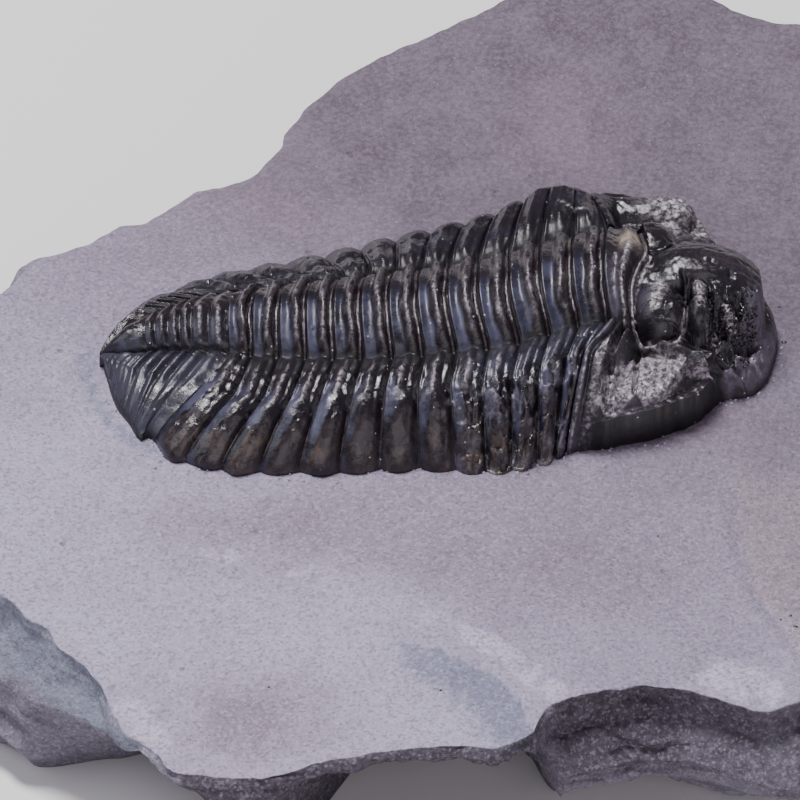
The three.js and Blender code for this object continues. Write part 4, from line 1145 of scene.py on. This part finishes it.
def skin_tree(material):
    """Pushes a surface in and out by noise of two sizes, more on its broken sides."""
    nodes, given, result = new_group("Split rock skin", "GeometryNodeTree",
        [("Geometry", "NodeSocketGeometry", None), ("Lump size", "NodeSocketFloat", 0.004),
        ("Lump depth", "NodeSocketFloat", 0.0001), ("Side depth", "NodeSocketFloat", 0.0008)],
        [("Geometry", "NodeSocketGeometry")])
    place = nodes.add("GeometryNodeInputPosition").outputs[0]
    scale = nodes.math("DIVIDE", 1.0, given["Lump size"])
    lumps = nodes.add("ShaderNodeTexNoise",
                      {"Vector": place, "Scale": scale, "Detail": 5.0, "Roughness": 0.6})
    centred = nodes.math("SUBTRACT", lumps.outputs["Fac"], 0.5)
    side = nodes.add("GeometryNodeInputNamedAttribute", {"Name": "side"}, data_type="FLOAT").outputs[0]
    depth = nodes.plus(given["Lump depth"], nodes.times(side, given["Side depth"]))
    push = nodes.times(centred, depth)
    normal = nodes.add("GeometryNodeInputNormal").outputs[0]
    offset = nodes.add("ShaderNodeVectorMath", {0: normal, "Scale": push}, operation="SCALE")
    above = nodes.add("ShaderNodeSeparateXYZ", {0: place}).outputs["Z"]
    moved = nodes.add("GeometryNodeSetPosition", {"Geometry": given["Geometry"],
                                                  "Selection": nodes.math("GREATER_THAN", above, 0.0006),
                                                  "Offset": offset.outputs[0]})
    return finished(nodes, result, moved, material)


def scatter_tree(material):
    """Small broken grains scattered over the marked part of a surface."""
    nodes, given, result = new_group("Scattered grains", "GeometryNodeTree",
        [("Geometry", "NodeSocketGeometry", None), ("Count per m2", "NodeSocketFloat", 1e5),
        ("Smallest", "NodeSocketFloat", 0.0001), ("Largest", "NodeSocketFloat", 0.0003),
        ("Seed", "NodeSocketInt", 1)], [("Geometry", "NodeSocketGeometry")])
    marked = nodes.add("GeometryNodeInputNamedAttribute", {"Name": "grains"}, data_type="FLOAT").outputs[0]
    density = nodes.times(marked, given["Count per m2"])
    spots = nodes.add("GeometryNodeDistributePointsOnFaces", {"Mesh": given["Geometry"], "Density": density,
                                                              "Seed": given["Seed"]})
    grain = nodes.add("GeometryNodeMeshIcoSphere", {"Radius": 1.0, "Subdivisions": 1})
    size = nodes.add("FunctionNodeRandomValue", {"Seed": given["Seed"]}, data_type="FLOAT")
    floats = [socket for socket in size.inputs if socket.name in ("Min", "Max") and socket.type == "VALUE"]
    nodes.put(floats[0], given["Smallest"])
    nodes.put(floats[1], given["Largest"])
    turn = nodes.add("FunctionNodeRandomValue", data_type="FLOAT_VECTOR")
    nodes.put([s for s in turn.inputs if s.name == "Max" and s.type == "VECTOR"][0], (6.28, 6.28, 6.28))
    value = [s for s in size.outputs if s.type == "VALUE"][0]
    angle = [s for s in turn.outputs if s.type == "VECTOR"][0]
    lumpy = nodes.add("ShaderNodeCombineXYZ", {"X": value, "Y": nodes.times(value, 0.7),
                                               "Z": nodes.times(value, 0.55)})
    laid = nodes.add("GeometryNodeInstanceOnPoints",
                     {"Points": spots.outputs["Points"], "Instance": grain.outputs["Mesh"],
                      "Rotation": angle, "Scale": lumpy})
    return finished(nodes, result, laid, material)


def through_tree(thing, tree, values):
    """The mesh that a node tree makes of an object, as that object's plain mesh."""
    modifier = thing.modifiers.new("nodes", "NODES")
    modifier.node_group = tree
    for item in tree.interface.items_tree:
        if item.in_out == "INPUT" and item.name in values:
            modifier[item.identifier] = values[item.name]
    made = bpy.data.meshes.new_from_object(thing.evaluated_get(bpy.context.evaluated_depsgraph_get()))
    thing.modifiers.remove(modifier)
    return made


# Grit left on the shell


def points_of(mesh):
    points = np.empty(len(mesh.vertices) * 3)
    mesh.vertices.foreach_get("co", points)
    return points.reshape(-1, 3)


def scattered(name, source, keep, material, values):
    """Grains over the part of an object that keep marks, as one piece."""
    base = source.data.copy()
    put_mask(base, "grains", keep(*(points_of(base) / MM - SLAB_SHIFT).T))
    patch = placed(name + "_base", base)
    grains = through_tree(patch, scatter_tree(material), values)
    bpy.data.objects.remove(patch)
    mesh = bpy.data.meshes.new(name)
    corners = [tuple(v.co) for v in grains.vertices]
    mesh.from_pydata(corners, [], [tuple(f.vertices) for f in grains.polygons])
    mesh.materials.append(material)
    return placed(name, mesh)


def snout_crust(x, y, z):
    return step(3.2, 1.6, np.hypot((x - 26.6) / 1.1, y - 0.1)) * (z > 2.5)


def near_outline():
    """The specimen's near margin as seen from above, from the head's front to the tail's end."""
    along = np.linspace(0, TAIL_END, 120)
    flank = shell_point(along, np.full(120, -3.0), np.full(120, 0.5))[:, :2]
    head = smooth_line(HEAD_MARGIN[:13], 50)[::-1]
    return np.concatenate([head, flank])


def margin_crumbs(x, y, z):
    """Where crumbs of rock lie against the shell: a narrow strip along its near margin."""
    share = np.zeros_like(x)
    close = (z > -1.5) & (x > -36) & (x < 34) & (y > -20) & (y < 8)
    place = np.stack([x, y], axis=-1)[close]
    away = np.min(np.hypot(*(place[:, None] - near_outline()[None]).T), axis=0)
    patchy = np.clip(0.5 + rough(flat_points(*place.T), 2.2, 251, 2), 0.05, 1)
    share[close] = step(0.9, 0.25, away) * patchy
    return share


def speck_object():
    """The black specks on the rock: low domes, each sunk a little into the surface."""
    points, faces = [], []
    turns = np.linspace(0, 2 * np.pi, 9)[:-1]
    for x, y, half in SPECKS:
        first = len(points)
        ground = float(rock_top(x, y))
        for reach, up in ((1.0, -0.3), (0.95, 0.1), (0.55, 0.35)):
            points += [(x + half * reach * math.cos(a), y + 0.7 * half * reach * math.sin(a),
                        ground + half * up) for a in turns]
        points.append((x, y, ground + 0.42 * half))
        for ring in (0, 8):
            low = first + ring
            faces += [(low + i, low + (i + 1) % 8, low + 8 + (i + 1) % 8, low + 8 + i) for i in range(8)]
        faces += [(first + 16 + i, first + 16 + (i + 1) % 8, first + 24) for i in range(8)]
        faces.append(tuple(first + 7 - i for i in range(8)))
    return new_object("black_specks", points, faces)


def kept_inside(thing, low, high):
    """Moves any point of a mesh that stands outside the box back onto it."""
    points = np.clip(points_of(thing.data), low, high)
    thing.data.vertices.foreach_set("co", points.ravel())
    thing.data.update()


# Materials, in linear colours

blotches = blotch_group()
grain = grain_group()
thorax_look = shell_material("Black shell", dark=(0.0062, 0.0042, 0.0080), brown=(0.0170, 0.0080, 0.0100),
    blue=(0.050, 0.052, 0.092), worn=(0.62, 0.54, 0.62), roughness=0.17)
tail_look = shell_material(
    "Blue-black shell", dark=(0.0070, 0.0052, 0.0095), brown=(0.0170, 0.0095, 0.0105),
    blue=(0.030, 0.030, 0.052), worn=(0.56, 0.49, 0.57), roughness=0.19)
head_look = shell_material(
    "Worn head shell", dark=(0.0068, 0.0048, 0.0084), brown=(0.0190, 0.0105, 0.0115),
    blue=(0.070, 0.063, 0.090), worn=(0.80, 0.72, 0.80), roughness=0.18)
rock_look = rock_material()

# Pieces

slab = rock_object()
slab.data = through_tree(slab, skin_tree(rock_look),
                         {"Lump size": 0.0022, "Lump depth": 0.00022, "Side depth": 0.0009})
kept_inside(slab, SLAB_LOW, SLAB_HIGH)
thorax = [tergite(number) for number in range(1, SEGMENTS + 1)]
tail = tail_shield()
head_middle, near_cheek, far_cheek = head_plates()

crust = scattered("snout_grains", head_middle, snout_crust, head_look,
                  {"Count per m2": 9e6, "Smallest": 0.00008, "Largest": 0.00026, "Seed": 5})
crumbs = scattered("margin_crumbs", slab, margin_crumbs, rock_look,
                   {"Count per m2": 5e6, "Smallest": 0.00007, "Largest": 0.00026, "Seed": 11})
specks = speck_object()
pieces = [(plate, f"thorax_segment_{number:02d}", "thorax_shell", thorax_look)
          for number, plate in enumerate(thorax, 1)]
pieces += [
    (tail, "pygidium", "tail_shell", tail_look),
    (head_middle, "cranidium", "head_shell", head_look),
    (near_cheek, "free_cheek_right", "head_shell", head_look),
    (far_cheek, "free_cheek_left", "head_shell", head_look),
    (slab, "matrix_slab", "matrix", None),
    (crust, None, "head_shell", None),
    (crumbs, None, "matrix", None),
    (specks, None, "tail_shell", tail_look)]
for piece, node, slot, look in pieces:
    if look:
        piece.data.materials.append(look)
    if node:
        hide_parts(node)
    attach(piece, "root")

# Floor, light and camera

AZIMUTH = math.radians(3)
ELEVATION = math.radians(42)
DISTANCE = 0.9
LOOK_AT = Vector((-0.0129145, -0.0053884, 0.014))
PIXELS_PER_METRE = 11000
IMAGE_WIDTH = 800
SENSOR = 36

# Name, place, width, length, watts and colour
LIGHTS = [("key", (-0.17, 0.17, 0.74), 0.2, 0.4, 8.4, (1.0, 0.975, 1.0)),
          ("left_fill", (-0.6, -0.1, 0.5), 0.6, 0.6, 1.6, (0.86, 0.90, 1.0)),
          ("near_fill", (0.15, -1.0, 0.5), 1.4, 0.9, 3.8, (0.98, 0.93, 1.0))]


def pale_floor():
    bpy.ops.mesh.primitive_plane_add(size=6)
    floor = bpy.context.object
    floor.name = "table_top"
    made, nodes, surface = new_material("Pale table")
    cloud = nodes.blotchy(300.0, 0.3)
    nodes.put(surface["Base Color"], nodes.mix(cloud, (0.78, 0.77, 0.76), (0.80, 0.79, 0.78)))
    surface["Roughness"].default_value = 0.9
    floor.data.materials.append(made)


def soft_light(name, place, width, length, watts, colour):
    """An oval area light turned to the fossil; its length runs away from the camera."""
    lamp = bpy.data.lights.new(name, "AREA")
    lamp.shape = "ELLIPSE"
    lamp.size = width
    lamp.size_y = length
    lamp.energy = watts
    lamp.color = colour
    thing = placed(name, lamp)
    thing.location = place
    thing.rotation_euler = (LOOK_AT - Vector(place)).to_track_quat("-Z", "Y").to_euler()


def photo_camera():
    data = bpy.data.cameras.new("photo_camera")
    data.sensor_width = SENSOR
    data.lens = SENSOR * DISTANCE * PIXELS_PER_METRE / IMAGE_WIDTH
    camera = placed("photo_camera", data)
    back = Vector((math.sin(AZIMUTH) * math.cos(ELEVATION), -math.cos(AZIMUTH) * math.cos(ELEVATION),
                   math.sin(ELEVATION)))
    camera.location = LOOK_AT + back * DISTANCE
    camera.rotation_euler = back.to_track_quat("Z", "Y").to_euler()
    bpy.context.scene.camera = camera


pale_floor()
for light in LIGHTS:
    soft_light(*light)
world = bpy.data.worlds.new("soft_room")
bpy.context.scene.world = world
world.use_nodes = True
world.node_tree.nodes["Background"].inputs["Color"].default_value = (0.95, 0.88, 1.0, 1)
world.node_tree.nodes["Background"].inputs["Strength"].default_value = 0.2
photo_camera()
